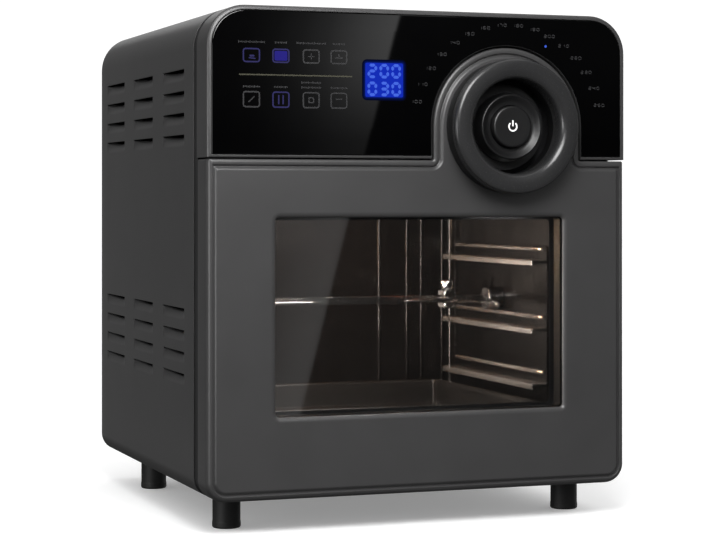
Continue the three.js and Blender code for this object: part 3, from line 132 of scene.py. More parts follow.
def add_node(tree, kind, inputs=None, **settings):
    """A new shader node, with constants on its sockets and settings of its own."""
    node = tree.nodes.new(f"ShaderNode{kind}")
    for name, value in (inputs or {}).items():
        node.inputs[name].default_value = value
    for name, value in settings.items():
        setattr(node, name, value)
    return node


def wire(tree, *links):
    """Joins sockets, each link given as node, output, node, input."""
    for source, output, target, entry in links:
        tree.links.new(source.outputs[output], target.inputs[entry])


def set_stops(ramp, stops):
    """Fills a colour ramp with rising stops of (position, colour)."""
    elements = ramp.color_ramp.elements
    for i, (position, colour) in enumerate(stops):
        stop = elements[i] if i < 2 else elements.new(position)
        stop.position = position
        stop.color = (*colour, 1.0)


def finish(name, colour, other, roughness, spread, grain, depth, metallic=0.0, stretch=(1.0, 1.0, 1.0),
           patch=30.0, glow=None, mirror=None, **constants):
    """A finish with uneven colour, uneven gloss and a fine surface, made of noise alone."""
    made = bpy.data.materials.new(name)
    made.use_nodes = True
    tree = made.node_tree
    shader = tree.nodes["Principled BSDF"]
    place = add_node(tree, "TexCoord")
    scale = add_node(tree, "Mapping", {"Scale": stretch})
    patches = add_node(tree, "TexNoise", {"Scale": patch, "Detail": 4.0})
    ramp = add_node(tree, "ValToRGB")
    set_stops(ramp, zip(PATCH_SPAN, (colour, other)))
    fine = add_node(tree, "TexNoise", {"Scale": grain, "Detail": 2.0})
    gloss = add_node(tree, "MapRange", {"To Min": roughness - spread, "To Max": roughness + spread})
    bump = add_node(tree, "Bump", {"Strength": 1.0, "Distance": depth * MILLIMETRE})
    wire(tree, (place, "Object", scale, "Vector"), (scale, "Vector", patches, "Vector"),
         (patches, "Fac", ramp, "Fac"), (ramp, "Color", shader, "Base Color"),
         (scale, "Vector", fine, "Vector"), (fine, "Fac", gloss, "Value"),
         (gloss, "Result", shader, "Roughness"), (fine, "Fac", bump, "Height"),
         (bump, "Normal", shader, "Normal"))
    constants["Metallic"] = metallic
    if glow:
        constants["Emission Color"] = (*glow[:3], 1.0)
        constants["Emission Strength"] = glow[3]
    if mirror is not None:
        constants["Specular IOR Level"] = mirror
    for key, value in constants.items():
        shader.inputs[key].default_value = value
    materials[name] = made
    return made


def mark_finish(name, colour, other, roughness, glow=None):
    """A printed mark, which mirrors nothing, so that it keeps its own tone under the glass."""
    finish(name, colour, other, roughness, *MARK_GRAIN, glow=glow, mirror=0.0)


def grey(value):
    return (value, value, value)


GLOW_RINGS = [(1, 0.32), (2, 0.13), (3, 0.045)]


def make_materials():
    make_paints()
    make_metals()
    make_plastics()
    make_glasses()
    make_marks()


def make_paints():
    finish("body_paint", (0.033, 0.0325, 0.033), (0.037, 0.0365, 0.037), 0.36, 0.05, 1500.0, 0.012)
    finish("handle_paint", (0.015, 0.015, 0.0155), (0.018, 0.018, 0.0185), 0.26, 0.04, 1500.0, 0.006)
    # The flange's near-black is painted shade, standing for the shaded recess between the cover and the door.
    finish("flange_painted_shade", (0.006, 0.006, 0.0065), (0.008, 0.008, 0.0085), 0.6, 0.05, 1200.0, 0.012)


def make_metals():
    finish("dark_sheet", (0.022, 0.022, 0.024), (0.03, 0.03, 0.032), 0.55, 0.08, 900.0, 0.02, metallic=0.5)
    finish("chamber_steel", (0.022, 0.02, 0.019), (0.028, 0.0255, 0.024), 0.22, 0.012, 260.0, 0.0006,
           metallic=0.85, stretch=(1.0, 1.0, 0.3), patch=60.0)
    finish("pan_steel", (0.03, 0.029, 0.028), (0.038, 0.036, 0.034), 0.22, 0.02, 400.0, 0.001,
           metallic=0.7, patch=60.0)
    finish("bright_steel", (0.70, 0.68, 0.65), (0.78, 0.76, 0.73), 0.17, 0.02, 400.0, 0.001,
           metallic=0.9, stretch=(1.0, 0.3, 1.0), patch=60.0)
    finish("spit_steel", (0.56, 0.55, 0.53), (0.64, 0.62, 0.6), 0.17, 0.05, 700.0, 0.01,
           metallic=1.0, stretch=(0.06, 1.0, 1.0), patch=60.0)
    finish("heater_sheath", (0.06, 0.052, 0.045), (0.11, 0.09, 0.075), 0.5, 0.1, 400.0, 0.04,
           metallic=0.6, patch=60.0, glow=(1.0, 0.14, 0.02, 1.2))
    for name, colour, other, roughness in (
        ("hinge_steel", grey(0.34), grey(0.42), 0.35),
        ("fan_aluminium", (0.5, 0.5, 0.51), (0.6, 0.6, 0.61), 0.35),
        ("motor_steel", (0.3, 0.3, 0.31), (0.38, 0.38, 0.39), 0.4),
    ):
        finish(name, colour, other, roughness, 0.08, 500.0, 0.02, metallic=1.0, patch=80.0)


def make_plastics():
    finish("gloss_black", (0.0035, 0.0035, 0.0038), (0.005, 0.005, 0.0053), 0.4, 0.03, 900.0, 0.003)
    # Near-black with little shine. On the ring handle's sleeve it is painted shade, for the gap between the
    # lobe and the ring and for the deep bore; it also darkens the window spacer.
    finish("black_and_painted_shade", (0.0028, 0.0028, 0.003), (0.0036, 0.0036, 0.0038), 0.42, 0.05, 900.0, 0.006,
           mirror=0.3)
    finish("matt_black", (0.004, 0.004, 0.0045), (0.006, 0.006, 0.0065), 0.5, 0.08, 900.0, 0.02)
    finish("rubber", grey(0.008), grey(0.011), 0.6, 0.1, 700.0, 0.04)
    finish("circuit_board", (0.01, 0.06, 0.03), (0.015, 0.08, 0.04), 0.4, 0.08, 400.0, 0.02)


def make_glasses():
    finish("control_glass", (0.0006, 0.0006, 0.0007), (0.0008, 0.0008, 0.0009), 0.02, 0.006, 200.0, 0.0,
           IOR=1.5)
    finish("window_glass", grey(0.004), grey(0.006), 0.015, 0.005, 150.0, 0.0, Alpha=0.25, IOR=2.4)
    finish("inner_glass", grey(0.004), grey(0.006), 0.02, 0.008, 150.0, 0.0, Alpha=0.12, IOR=2.4)
    finish("lamp_glass", (0.6, 0.58, 0.52), (0.7, 0.66, 0.6), 0.3, 0.05, 300.0, 0.02, Alpha=0.5, IOR=1.5)
    finish("lamp_bulb", (0.9, 0.85, 0.75), (1.0, 0.95, 0.85), 0.3, 0.05, 300.0, 0.01,
           glow=(1.0, 0.72, 0.42, 12.0))


def make_marks():
    mark_finish("display_blue", (0.01, 0.02, 0.1), (0.012, 0.025, 0.12), 0.4, (0.04, 0.095, 0.54, 1.0))
    mark_finish("display_field", (0.001, 0.002, 0.02), (0.0012, 0.003, 0.025), 0.4, (0.005, 0.021, 0.42, 1.0))
    for level, strength in GLOW_RINGS:
        mark_finish(f"display_glow_{level}", (0.0005, 0.0008, 0.002), (0.0006, 0.001, 0.0025), 0.2,
                    (0.004, 0.02, 0.30, strength))
    mark_finish("icon_violet", (0.008, 0.008, 0.014), (0.01, 0.01, 0.018), 0.5, (0.018, 0.016, 0.085, 1.0))
    mark_finish("icon_deep", (0.003, 0.003, 0.012), (0.004, 0.004, 0.016), 0.5, (0.016, 0.012, 0.18, 1.0))
    mark_finish("icon_grey", (0.024, 0.024, 0.025), (0.03, 0.03, 0.031), 0.55)
    mark_finish("line_gold", (0.04, 0.039, 0.029), (0.046, 0.045, 0.034), 0.5)
    finish("mark_white", grey(0.7), grey(0.8), 0.35, *MARK_GRAIN)


# Flat lines and outlines
LAYOUT = {"X": (2, 0, 1), "Y": (0, 2, 1), "Z": (0, 1, 2)}
FLAT_AXES = {"X": (1, 2), "Y": (0, 2), "Z": (0, 1)}
SMALLEST_CORNER = 0.8
SMALLEST_REACH = 1e-6
CORNER_SHARE = 0.48


def lay(flat, along, axis="Y"):
    """Sets flat points square to an axis, at a place along it."""
    return [tuple((u, v, along)[i] for i in LAYOUT[axis]) for u, v in flat]


def turns(steps):
    return [2 * math.pi * i / steps for i in range(steps)]


def circle(x, z, radius, steps):
    return [(x + radius * math.cos(turn), z + radius * math.sin(turn)) for turn in turns(steps)]


def rectangle(left, right, bottom, top):
    return [(left, bottom), (right, bottom), (right, top), (left, top)]


def box_corners(left, right, bottom, top, radius):
    return [(x, z, radius) for x, z in rectangle(left, right, bottom, top)]


def soften_line(points, radius, steps=4, closed=False):
    """A polyline whose corners are rounded, by arcs no longer than half its stretches."""
    count = len(points)
    made = []
    for i, here in enumerate(points):
        if not closed and i in (0, count - 1):
            made.append(tuple(here))
            continue
        own = radius[i] if isinstance(radius, list) else radius
        here = Vector(here)
        back = Vector(points[i - 1]) - here
        on = Vector(points[(i + 1) % count]) - here
        reach = min(own, back.length * CORNER_SHARE, on.length * CORNER_SHARE)
        if reach < SMALLEST_REACH:
            made.append(tuple(here))
            continue
        start, end = here + back.normalized() * reach, here + on.normalized() * reach
        for step in range(steps + 1):
            t = step / steps
            made.append(tuple(start * (1 - t) ** 2 + here * 2 * t * (1 - t) + end * t ** 2))
    return made


def soft_profile(points, steps, closed=False):
    """A softened line, from points that carry their own corner radius last."""
    return soften_line([p[:-1] for p in points], [p[-1] for p in points], steps, closed)


def corner_ways(corners, i):
    """The directions in which an outline arrives at a corner and leaves it."""
    here = Vector(corners[i][:2])
    before, after = corners[i - 1], corners[(i + 1) % len(corners)]
    return (here - Vector(before[:2])).normalized(), (Vector(after[:2]) - here).normalized()


def outline(corners, steps):
    """A closed outline of square corners, each rounded by its radius: (x, z, radius)."""
    made = []
    for i, (x, z, radius) in enumerate(corners):
        arrive, leave = corner_ways(corners, i)
        centre = Vector((x, z)) - arrive * radius + leave * radius
        count = steps[i] if isinstance(steps, list) else steps
        for k in range(count + 1):
            turn = math.pi / 2 * k / count
            made.append(tuple(centre - leave * radius * math.cos(turn) + arrive * radius * math.sin(turn)))
    return made


def inset(corners, amount):
    """The same corners drawn in by an amount, radii with them."""
    made = []
    for i, (x, z, radius) in enumerate(corners):
        arrive, leave = corner_ways(corners, i)
        convex = arrive.x * leave.y - arrive.y * leave.x > 0
        shift = Vector((-arrive.y, arrive.x)) * amount + Vector((-leave.y, leave.x)) * amount
        own = max(radius + (-amount if convex else amount), SMALLEST_CORNER)
        made.append((x + shift.x, z + shift.y, own))
    return made


def inside(point, loop):
    crossings = False
    for i, here in enumerate(loop):
        before = loop[i - 1]
        if (here.y > point.y) != (before.y > point.y):
            x = here.x + (point.y - here.y) * (before.x - here.x) / (before.y - here.y)
            crossings ^= point.x < x
    return crossings


# Skins
class Skin:
    """Points and faces of one mesh, in millimetres of the shell's frame."""

    def __init__(self):
        self.points = []
        self.faces = []

    def ring(self, points):
        start = len(self.points)
        self.points += [tuple(p) for p in points]
        return list(range(start, len(self.points)))

    def bridge(self, first, second, closed=True):
        count = len(first)
        for i in range(count if closed else count - 1):
            j = (i + 1) % count
            self.faces.append((first[i], first[j], second[j], second[i]))

    def strip(self, rings, closed=True):
        for first, second in zip(rings, rings[1:]):
            self.bridge(first, second, closed)

    def cap(self, ring):
        self.faces.append(tuple(ring))

    def fill(self, rings, axis="Y"):
        """Fills the flat region that lies between an outer ring and the rings of its holes."""
        u, v = FLAT_AXES[axis]
        index = [i for ring in rings for i in ring]
        flat = [Vector((self.points[i][u], self.points[i][v])) for i in index]
        edges, loops, start = [], [], 0
        for ring in rings:
            count = len(ring)
            edges += [(start + i, start + (i + 1) % count) for i in range(count)]
            loops.append([flat[start + i] for i in range(count)])
            start += count
        places, _, triangles, origins, _, _ = delaunay_2d_cdt(flat, edges, [], 0, 1e-6)
        for triangle in triangles:
            middle = sum((places[i] for i in triangle), Vector((0.0, 0.0))) / len(triangle)
            if sum(inside(middle, loop) for loop in loops) % 2:
                self.faces.append(tuple(index[origins[i][0]] for i in triangle))


def rims(skin, corners, profile, steps, axis="Y"):
    """Joined rings of one outline, each drawn in and set along an axis, for a profile of (draw, along)."""
    rings = [skin.ring(lay(outline(inset(corners, draw), steps), along, axis)) for draw, along in profile]
    skin.strip(rings)
    return rings


def wall(skin, loop, near, far, axis="Y"):
    """The wall round a loop between two places along an axis, and its two rings."""
    rings = [skin.ring(lay(loop, along, axis)) for along in (near, far)]
    skin.bridge(*rings)
    return rings


def slab(skin, loops, near, far, axis="Y"):
    """A flat body between two places along an axis: its outer loop first, then its holes."""
    front, back = ([skin.ring(lay(loop, along, axis)) for loop in loops] for along in (near, far))
    skin.fill(front, axis)
    skin.fill(back, axis)
    for first, second in zip(front, back):
        skin.bridge(first, second)
    return skin


def block(skin, loop, near, far):
    """A plain body of one loop between two depths, its ends left whole."""
    front, back = wall(skin, loop, near, far)
    skin.cap(front)
    skin.cap(back[::-1])
    return skin


def lathe(skin, profile, axis, centre, steps=64, closed=False, lobes=None):
    """Turns a profile of (radius, along) about an axis; lobes may wave its radius."""
    rings = []
    for radius, along in profile:
        points = []
        for turn in turns(steps):
            reach = radius + (lobes(turn, radius) if lobes else 0.0)
            points.append((centre[0] + reach * math.cos(turn), centre[1] + reach * math.sin(turn)))
        rings.append(skin.ring(lay(points, along, axis)))
    skin.strip(rings + ([rings[0]] if closed else []))
    return skin


def rod(axis, centre, radius, start, end, steps):
    return lathe(Skin(), [(0.0, start), (radius, start), (radius, end), (0.0, end)], axis, centre, steps)


def tube(skin, path, radius, sides=12):
    """A round tube along an open path, its radius one number or one for each point."""
    places = [Vector(p) for p in path]
    last = len(places) - 1
    rings = []
    normal = None
    for i, here in enumerate(places):
        along = (places[min(i + 1, last)] - places[max(i - 1, 0)]).normalized()
        if normal is None:
            normal = along.orthogonal().normalized()
        normal = (normal - along * normal.dot(along)).normalized()
        across = along.cross(normal)
        reach = radius[i] if isinstance(radius, list) else radius
        rings.append(skin.ring([here + normal * reach * math.cos(turn) + across * reach * math.sin(turn)
                                for turn in turns(sides)]))
    skin.strip(rings)
    skin.cap(rings[0][::-1])
    skin.cap(rings[-1])
    return skin


# Objects
CREASE = 32.0
SOFT_CREASE = 40.0
WIDE_CREASE = 50.0
BEVEL_FROM = 30.0
BEVEL_STEPS = 2
NO_CREASE = 179.0
FLAT_ANGLE = 0.5
FINE_MERGE = 1e-7
COPY_MERGE = 1e-6
EVEN_WEIGHT = 90
CUT_OVER = 1.0


def to_frame(point):
    x, y, z = point
    return (x * MILLIMETRE, (y + SHELL_SHIFT) * MILLIMETRE, (z + FOOT_HEIGHT) * MILLIMETRE)


def clean(mesh, merge, flatten):
    """Merges doubled points, turns the faces outwards and may join faces that lie flat together."""
    work = bmesh.new()
    work.from_mesh(mesh)
    bmesh.ops.remove_doubles(work, verts=work.verts, dist=merge)
    bmesh.ops.dissolve_degenerate(work, edges=work.edges, dist=merge)
    bmesh.ops.recalc_face_normals(work, faces=work.faces)
    if flatten:
        bmesh.ops.dissolve_limit(work, angle_limit=math.radians(FLAT_ANGLE), verts=work.verts,
                                 edges=work.edges)
    work.to_mesh(mesh)
    work.free()


def mesh_of(name, skin, flatten=False):
    mesh = bpy.data.meshes.new(name)
    mesh.from_pydata([to_frame(p) for p in skin.points], [], skin.faces)
    clean(mesh, FINE_MERGE, flatten)
    return mesh


def even_shading(made):
    shade = made.modifiers.new("shading", "WEIGHTED_NORMAL")
    shade.keep_sharp = True
    shade.weight = EVEN_WEIGHT


def dress(made, material, body, replaces, crease, bevel, even):
    """Gives an object its material, soft edges, shading and body."""
    bpy.context.scene.collection.objects.link(made)
    made.data.materials.clear()
    made.data.materials.append(materials[material])
    if bevel:
        edge = made.modifiers.new("edges", "BEVEL")
        edge.width = bevel * MILLIMETRE
        edge.segments = BEVEL_STEPS
        edge.limit_method = "ANGLE"
        edge.angle_limit = math.radians(BEVEL_FROM)
        edge.use_clamp_overlap = True
    for face in made.data.polygons:
        face.use_smooth = True
    made.data.set_sharp_from_angle(angle=math.radians(NO_CREASE if bevel else crease))
    if bevel or even:
        even_shading(made)
    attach(made, body)
    if replaces:
        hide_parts(*replaces)
    return made


def piece(name, skin, material, body="oven", replaces=(), crease=CREASE, bevel=0.0, even=False):
    """A shaded object from a skin, riding on a body of the frame."""
    made = bpy.data.objects.new(name, mesh_of(name, skin, bool(bevel)))
    return dress(made, material, body, replaces, crease, bevel, even)


def soft_copy(node, material, bevel):
    """A copy of a frame node whose edges are softened, standing for the node."""
    source = frame["nodes"][node]
    mesh = source.data.copy()
    clean(mesh, COPY_MERGE, True)
    made = bpy.data.objects.new(f"{node}_finished", mesh)
    dress(made, material, source["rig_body"], (node,), CREASE, bevel, True)


def carve(made, cutters, crease):
    """Cuts skins out of an object for good, and finds its creases again."""
    for cutter in cutters:
        tool = bpy.data.objects.new("cutter", mesh_of("cutter", cutter))
        bpy.context.scene.collection.objects.link(tool)
        step = made.modifiers.new("cut", "BOOLEAN")
        step.operation = "DIFFERENCE"
        step.solver = "EXACT"
        step.object = tool
        bpy.context.view_layer.update()
        graph = bpy.context.evaluated_depsgraph_get()
        result = bpy.data.meshes.new_from_object(made.evaluated_get(graph))
        made.modifiers.remove(step)
        made.data = result
        bpy.data.objects.remove(tool)
    made.data.set_sharp_from_angle(angle=math.radians(crease))


# Outer cover
LOUVRE_ROOT = 7.0
LOUVRE_LIP = -0.4
LOUVRE_MOUTH = 1.5
LOUVRE_GUARD = 0.7
LOUVRE_DEPTH = 3.2
LOUVRE_OPEN_FROM = 0.25
LOUVRE_TAPER = 1.3
LOUVRE_TAPER_FROM = 0.35
LOUVRE_HALF = 30.0
LOUVRE_PITCH = 15.6
LOUVRE_ROWS = [low + LOUVRE_PITCH * i for low in (83.0, 254.0) for i in range(4)]
LOUVRE_COLUMNS = [89.5, 180.5, 271.5]
LOUVRE_LEVELS = (0.0, 0.1, 0.22, 0.36, 0.52, 0.68, 0.84, 1.0)
LOUVRE_STEPS = 18
LOUVRE_FRONT_POWER = 6
LOUVRE_REAR_POWER = 0.6
EDGE_SLACK = 1e-6
# The press rises as the root of the squared share, blunt at its start and scaled to reach one
BLUNT = 0.02
BLUNT_START = 0.1414
BLUNT_SPAN = 0.8686
COVER_FRONT_STEPS = (0.0, 0.1, 0.25, 0.5, 1.2)
COVER_REAR_STEPS = (3.0, 2.3, 1.6, 1.0, 0.5, 0.2, 0.0)
FRONT_EDGE_REACH = 0.5
FRONT_EDGE_DRAW = 0.25
REAR_EDGE_REACH = 3.0
REAR_EDGE_DRAW = 1.6
LOW_BEND_STEPS = 8
HIGH_BEND_STEPS = 12
SHOULDER = BODY_HEIGHT - TOP_RADIUS


def louvre_share(y):
    """Where a depth lies on its louvre, -1 at the front end and 1 at the rear, or None beside them."""
    for column in LOUVRE_COLUMNS:
        share = (y - column) / LOUVRE_HALF
        if abs(share) <= 1:
            return share
    return None


def louvre_press(y, z):
    """How far the side wall is pressed in at a place: blunt at the front end, fading to the rear."""
    along = louvre_share(y)
    for row in LOUVRE_ROWS:
        t = (z - (row - LOUVRE_ROOT)) / (LOUVRE_LIP + LOUVRE_ROOT)
        if along is not None and -EDGE_SLACK <= t <= 1 + EDGE_SLACK:
            rise = (math.sqrt(t * t + BLUNT) - BLUNT_START) / BLUNT_SPAN
            if along < 0:
                end = 1 - along ** LOUVRE_FRONT_POWER
            else:
                end = (1 - along * along) ** LOUVRE_REAR_POWER
            return LOUVRE_DEPTH * rise * end
    return 0.0


def louvre_lift(y):
    """How far a louvre's lip climbs towards its rear end, so that its mouth narrows there."""
    along = louvre_share(y)
    if along is None:
        return 0.0
    share = max(0.0, (along + LOUVRE_TAPER_FROM) / (1.0 + LOUVRE_TAPER_FROM))
    return LOUVRE_TAPER * share * share * (3 - 2 * share)


def cover_edge(y):
    """How far the cover is drawn in close to its front and rear edges."""
    front = max(0.0, 1.0 - (y - COVER_FRONT) / FRONT_EDGE_REACH)
    rear = max(0.0, 1.0 - (BODY_BACK - y) / REAR_EDGE_REACH)
    return FRONT_EDGE_DRAW * front ** 2 + REAR_EDGE_DRAW * rear ** 2


def cover_path(levels):
    """The cover's bent section from the left foot edge over the top: x, z and the inward direction."""
    low_x = BOTTOM_RADIUS - HALF_WIDTH
    high_x = TOP_RADIUS - HALF_WIDTH
    path = [(-COVER_FOOT, 0.0, 0.0, 1.0), (low_x, 0.0, 0.0, 1.0)]
    for i in range(1, LOW_BEND_STEPS + 1):
        turn = math.pi / 2 * i / LOW_BEND_STEPS
        nx, nz = -math.sin(turn), -math.cos(turn)
        path.append((low_x + BOTTOM_RADIUS * nx, BOTTOM_RADIUS + BOTTOM_RADIUS * nz, -nx, -nz))
    path += [(-HALF_WIDTH, z, 1.0, 0.0) for z in levels]
    for i in range(HIGH_BEND_STEPS + 1):
        turn = math.pi / 2 * i / HIGH_BEND_STEPS
        nx, nz = -math.cos(turn), math.sin(turn)
        path.append((high_x + TOP_RADIUS * nx, SHOULDER + TOP_RADIUS * nz, -nx, -nz))
    return path + [(-x, z, -nx, nz) for x, z, nx, nz in reversed(path)]


def cover_levels():
    """The heights at which the side wall bends: every louvre's root, pressed slope and mouth."""
    levels = []
    for row in LOUVRE_ROWS:
        root = row - LOUVRE_ROOT
        levels.append(root - LOUVRE_GUARD)
        levels += [root + (LOUVRE_LIP + LOUVRE_ROOT) * t for t in LOUVRE_LEVELS]
        levels += [row + LOUVRE_MOUTH, row + LOUVRE_MOUTH + LOUVRE_GUARD]
    return levels


def cover_depths():
    """The depths at which the side wall bends: both edges and the curved ends of every louvre."""
    depths = [COVER_FRONT + step for step in COVER_FRONT_STEPS]
    for column in LOUVRE_COLUMNS:
        depths.append(column - LOUVRE_HALF - LOUVRE_GUARD)
        depths += [column - LOUVRE_HALF * math.cos(math.pi * i / LOUVRE_STEPS)
                   for i in range(LOUVRE_STEPS + 1)]
        depths.append(column + LOUVRE_HALF + LOUVRE_GUARD)
    return depths + [BODY_BACK - step for step in COVER_REAR_STEPS]


def make_outer_cover():
    """The folded wrap of sides and top, its louvres pressed in and open above their lips."""
    path = cover_path(cover_levels())
    lips = {round(row + LOUVRE_LIP, 3) for row in LOUVRE_ROWS}
    mouths = {round(row + LOUVRE_MOUTH, 3) for row in LOUVRE_ROWS}
    skin = Skin()
    presses = []
    rings = []
    for y in cover_depths():
        ring = []
        for x, z, nx, nz in path:
            press = louvre_press(y, z) if abs(nx) == 1.0 and BOTTOM_RADIUS < z < SHOULDER else 0.0
            draw = cover_edge(y) + press
            lift = louvre_lift(y) if round(z, 3) in lips else 0.0
            ring.append((x + nx * draw, y, z + nz * draw + lift))
            presses.append(press)
        rings.append(skin.ring(ring))
    for first, second in zip(rings, rings[1:]):
        for i in range(len(path) - 1):
            corners = (first[i], first[i + 1], second[i + 1], second[i])
            flat = abs(path[i][2]) == 1.0 and abs(path[i + 1][2]) == 1.0
            upper = round(max(path[i][1], path[i + 1][1]), 3)
            if flat and upper in mouths and max(presses[c] for c in corners) > LOUVRE_OPEN_FROM:
                continue
            skin.faces.append(corners)
    cover = piece("outer_cover_skin", skin, "body_paint", replaces=("outer_cover",), crease=SOFT_CREASE)
    top = max(cover.data.polygons, key=lambda face: face.center.z)
    if top.normal.z < 0:
        cover.data.flip_normals()
    sheet = cover.modifiers.new("wall", "SOLIDIFY")
    sheet.thickness = SHEET * MILLIMETRE
    sheet.offset = -1.0


def make_front_flange():
    """The front frame's edge, a band that stands a little inside the cover; its near-black colour is painted
    shade for the recess between the cover and the door.
    """
    skin = Skin()
    path = cover_path([])
    near, far = FLANGE_DRAWS
    rings = []
    for draw, y in ((near, FLANGE_FRONT), (near, FLANGE_BACK), (far, FLANGE_BACK), (far, FLANGE_FRONT)):
        rings.append(skin.ring([(x + nx * draw, y, z + nz * draw) for x, z, nx, nz in path]))
    skin.strip(rings + [rings[0]], closed=False)
    skin.cap([ring[0] for ring in rings])
    skin.cap([ring[-1] for ring in reversed(rings)])
    piece("front_flange_band", skin, "flange_painted_shade", crease=WIDE_CREASE)


# Control head
HEAD_RIM = 3.5
HEAD_LOW_RIM = 1.9
ARCH_RIM = 0.5
HEAD_STEPS = [3, 3, 32, 32, 3, 3, 12, 12]
# Shares of the rims at the sides and at the bottom, and the depth
HEAD_PROFILE = [
    (0.0, 0.0, HEAD_BACK), (0.0, 0.0, 3.0), (0.02, 0.0, 2.2), (0.08, 0.0, 1.45), (0.18, 0.02, 0.95),
    (0.32, 0.1, 0.52), (0.5, 0.3, 0.26), (0.7, 0.58, 0.1), (0.86, 0.82, 0.02), (0.95, 0.95, 0.12),
    (1.0, 1.0, 0.4), (1.0, 1.0, LEDGE_FRONT),
]
GLASS_PROFILE = [(0.0, 3.25), (0.0, 0.85), (0.06, 0.6), (0.2, 0.4), (0.4, 0.29), (0.65, GLASS_FRONT)]


def head_corners(rim, low_rim, arch_rim):
    """The head's corners with its own rim at the sides, at the bottom and round the arch."""
    low = HEAD_BOTTOM + low_rim
    half = ARCH_HALF + arch_rim
    side = HALF_WIDTH - rim
    top = BODY_HEIGHT - rim
    return [
        (-side, low, HEAD_CORNER),
        (DIAL_X - half, low, HEAD_CORNER),
        (DIAL_X - half, DIAL_Z + half, half),
        (DIAL_X + half, DIAL_Z + half, half),
        (DIAL_X + half, low, HEAD_CORNER),
        (side, low, HEAD_CORNER),
        (side, top, TOP_RADIUS - rim),
        (-side, top, TOP_RADIUS - rim),
    ]


def head_body(sections):
    """A closed skin over sections of the head: the three rims, then the depth."""
    skin = Skin()
    rings = [skin.ring(lay(outline(head_corners(*section[:3]), HEAD_STEPS), section[3]))
             for section in sections]
    skin.strip(rings)
    skin.fill([rings[0]])
    skin.fill([rings[-1]])
    return skin


def make_control_housing():
    sections = [(HEAD_RIM * side, HEAD_LOW_RIM * low, ARCH_RIM * side, y) for side, low, y in HEAD_PROFILE]
    sections += [(HEAD_RIM + LEDGE, HEAD_LOW_RIM + LEDGE, ARCH_RIM + LEDGE, y)
                 for y in (LEDGE_FRONT, LEDGE_BACK)]
    piece("control_housing_shell", head_body(sections), "body_paint", replaces=("control_housing",),
          even=True)


def make_control_glass():
    sections = []
    for draw, y in GLASS_PROFILE:
        inner = GLASS_GAP + draw
        sections.append((HEAD_RIM + inner, HEAD_LOW_RIM + inner, ARCH_RIM + inner, y))
    piece("control_glass_pane", head_body(sections), "control_glass", replaces=("control_glass",), even=True)


# Printed marks on the glass
MARK_BACK = 0.27
MARK_FRONT = 0.19
SEGMENT_GAP = 0.15
SEGMENTS = {
    "0": "abcdef", "1": "bc", "2": "abged", "3": "abgcd", "4": "fgbc",
    "5": "afgcd", "6": "afgedc", "7": "abc", "8": "abcdefg", "9": "abcdfg",
}


def mark(skin, loops, depth=MARK_FRONT):
    """A thin printed shape: its outer loop first, then its holes."""
    slab(skin, loops, depth, MARK_BACK)


def middle_corners(x, z, width, height, radius):
    return box_corners(x - width / 2, x + width / 2, z - height / 2, z + height / 2, radius)


def plate(skin, x, z, width, height, radius, depth=MARK_FRONT):
    mark(skin, [outline(middle_corners(x, z, width, height, radius), 3)], depth)


def hollow_plate(skin, x, z, width, height, line, radius):
    corners = middle_corners(x, z, width, height, radius)
    mark(skin, [outline(corners, 4), outline(inset(corners, line), 4)])


def stroke(skin, start, end, width):
    """A straight printed line."""
    a, b = Vector(start), Vector(end)
    across = (b - a).normalized().orthogonal() * width / 2
    mark(skin, [[tuple(a - across), tuple(b - across), tuple(b + across), tuple(a + across)]])


def digit(skin, text, x, z, width, height, line):
    """A figure of seven bars; its place is its middle."""
    half, up = width / 2, height / 2
    gap = line * SEGMENT_GAP
    ends = {
        "a": ((-half, up), (half, up)), "g": ((-half, 0), (half, 0)), "d": ((-half, -up), (half, -up)),
        "f": ((-half, 0), (-half, up)), "b": ((half, 0), (half, up)),
        "e": ((-half, -up), (-half, 0)), "c": ((half, -up), (half, 0)),
    }
    for name in SEGMENTS[text]:
        start, end = (Vector((x + dx, z + dz)) for dx, dz in ends[name])
        along = (end - start).normalized()
        across = along.orthogonal() * line / 2
        tip = along * gap
        near = along * (line / 2 + gap)
        loop = [start + tip, start + near - across, end - near - across, end - tip,
                end - near + across, start + near + across]
        mark(skin, [[tuple(p) for p in loop]])


FIELD_CENTRE = (-29.9, 293.6)
FIELD_SIZE = (28.6, 24.2)
FIELD_DEPTH = 0.24
FIELD_ROUND = 1.2
GLOW_STEP = 1.6
GLOW_LINE = 0.8
FIGURE_ROWS = [(299.9, "200"), (287.3, "030")]
FIGURE_PITCH = 9.0
FIGURE_SIZE = (5.2, 8.2, 2.1)


def make_display():
    field = Skin()
    plate(field, *FIELD_CENTRE, *FIELD_SIZE, FIELD_ROUND, FIELD_DEPTH)
    piece("display_field", field, "display_field")
    wide, tall = FIELD_SIZE
    for level, _ in GLOW_RINGS:
        ring = Skin()
        grow = GLOW_STEP * level
        hollow_plate(ring, *FIELD_CENTRE, wide + grow, tall + grow, GLOW_LINE, FIELD_ROUND + grow / 2)
        piece(f"display_glow_{level}", ring, f"display_glow_{level}")
    figures = Skin()
    for row, text in FIGURE_ROWS:
        for i, figure in enumerate(text):
            digit(figures, figure, FIELD_CENTRE[0] + FIGURE_PITCH * (i - 1), row, *FIGURE_SIZE)
    piece("display_figures", figures, "display_blue")


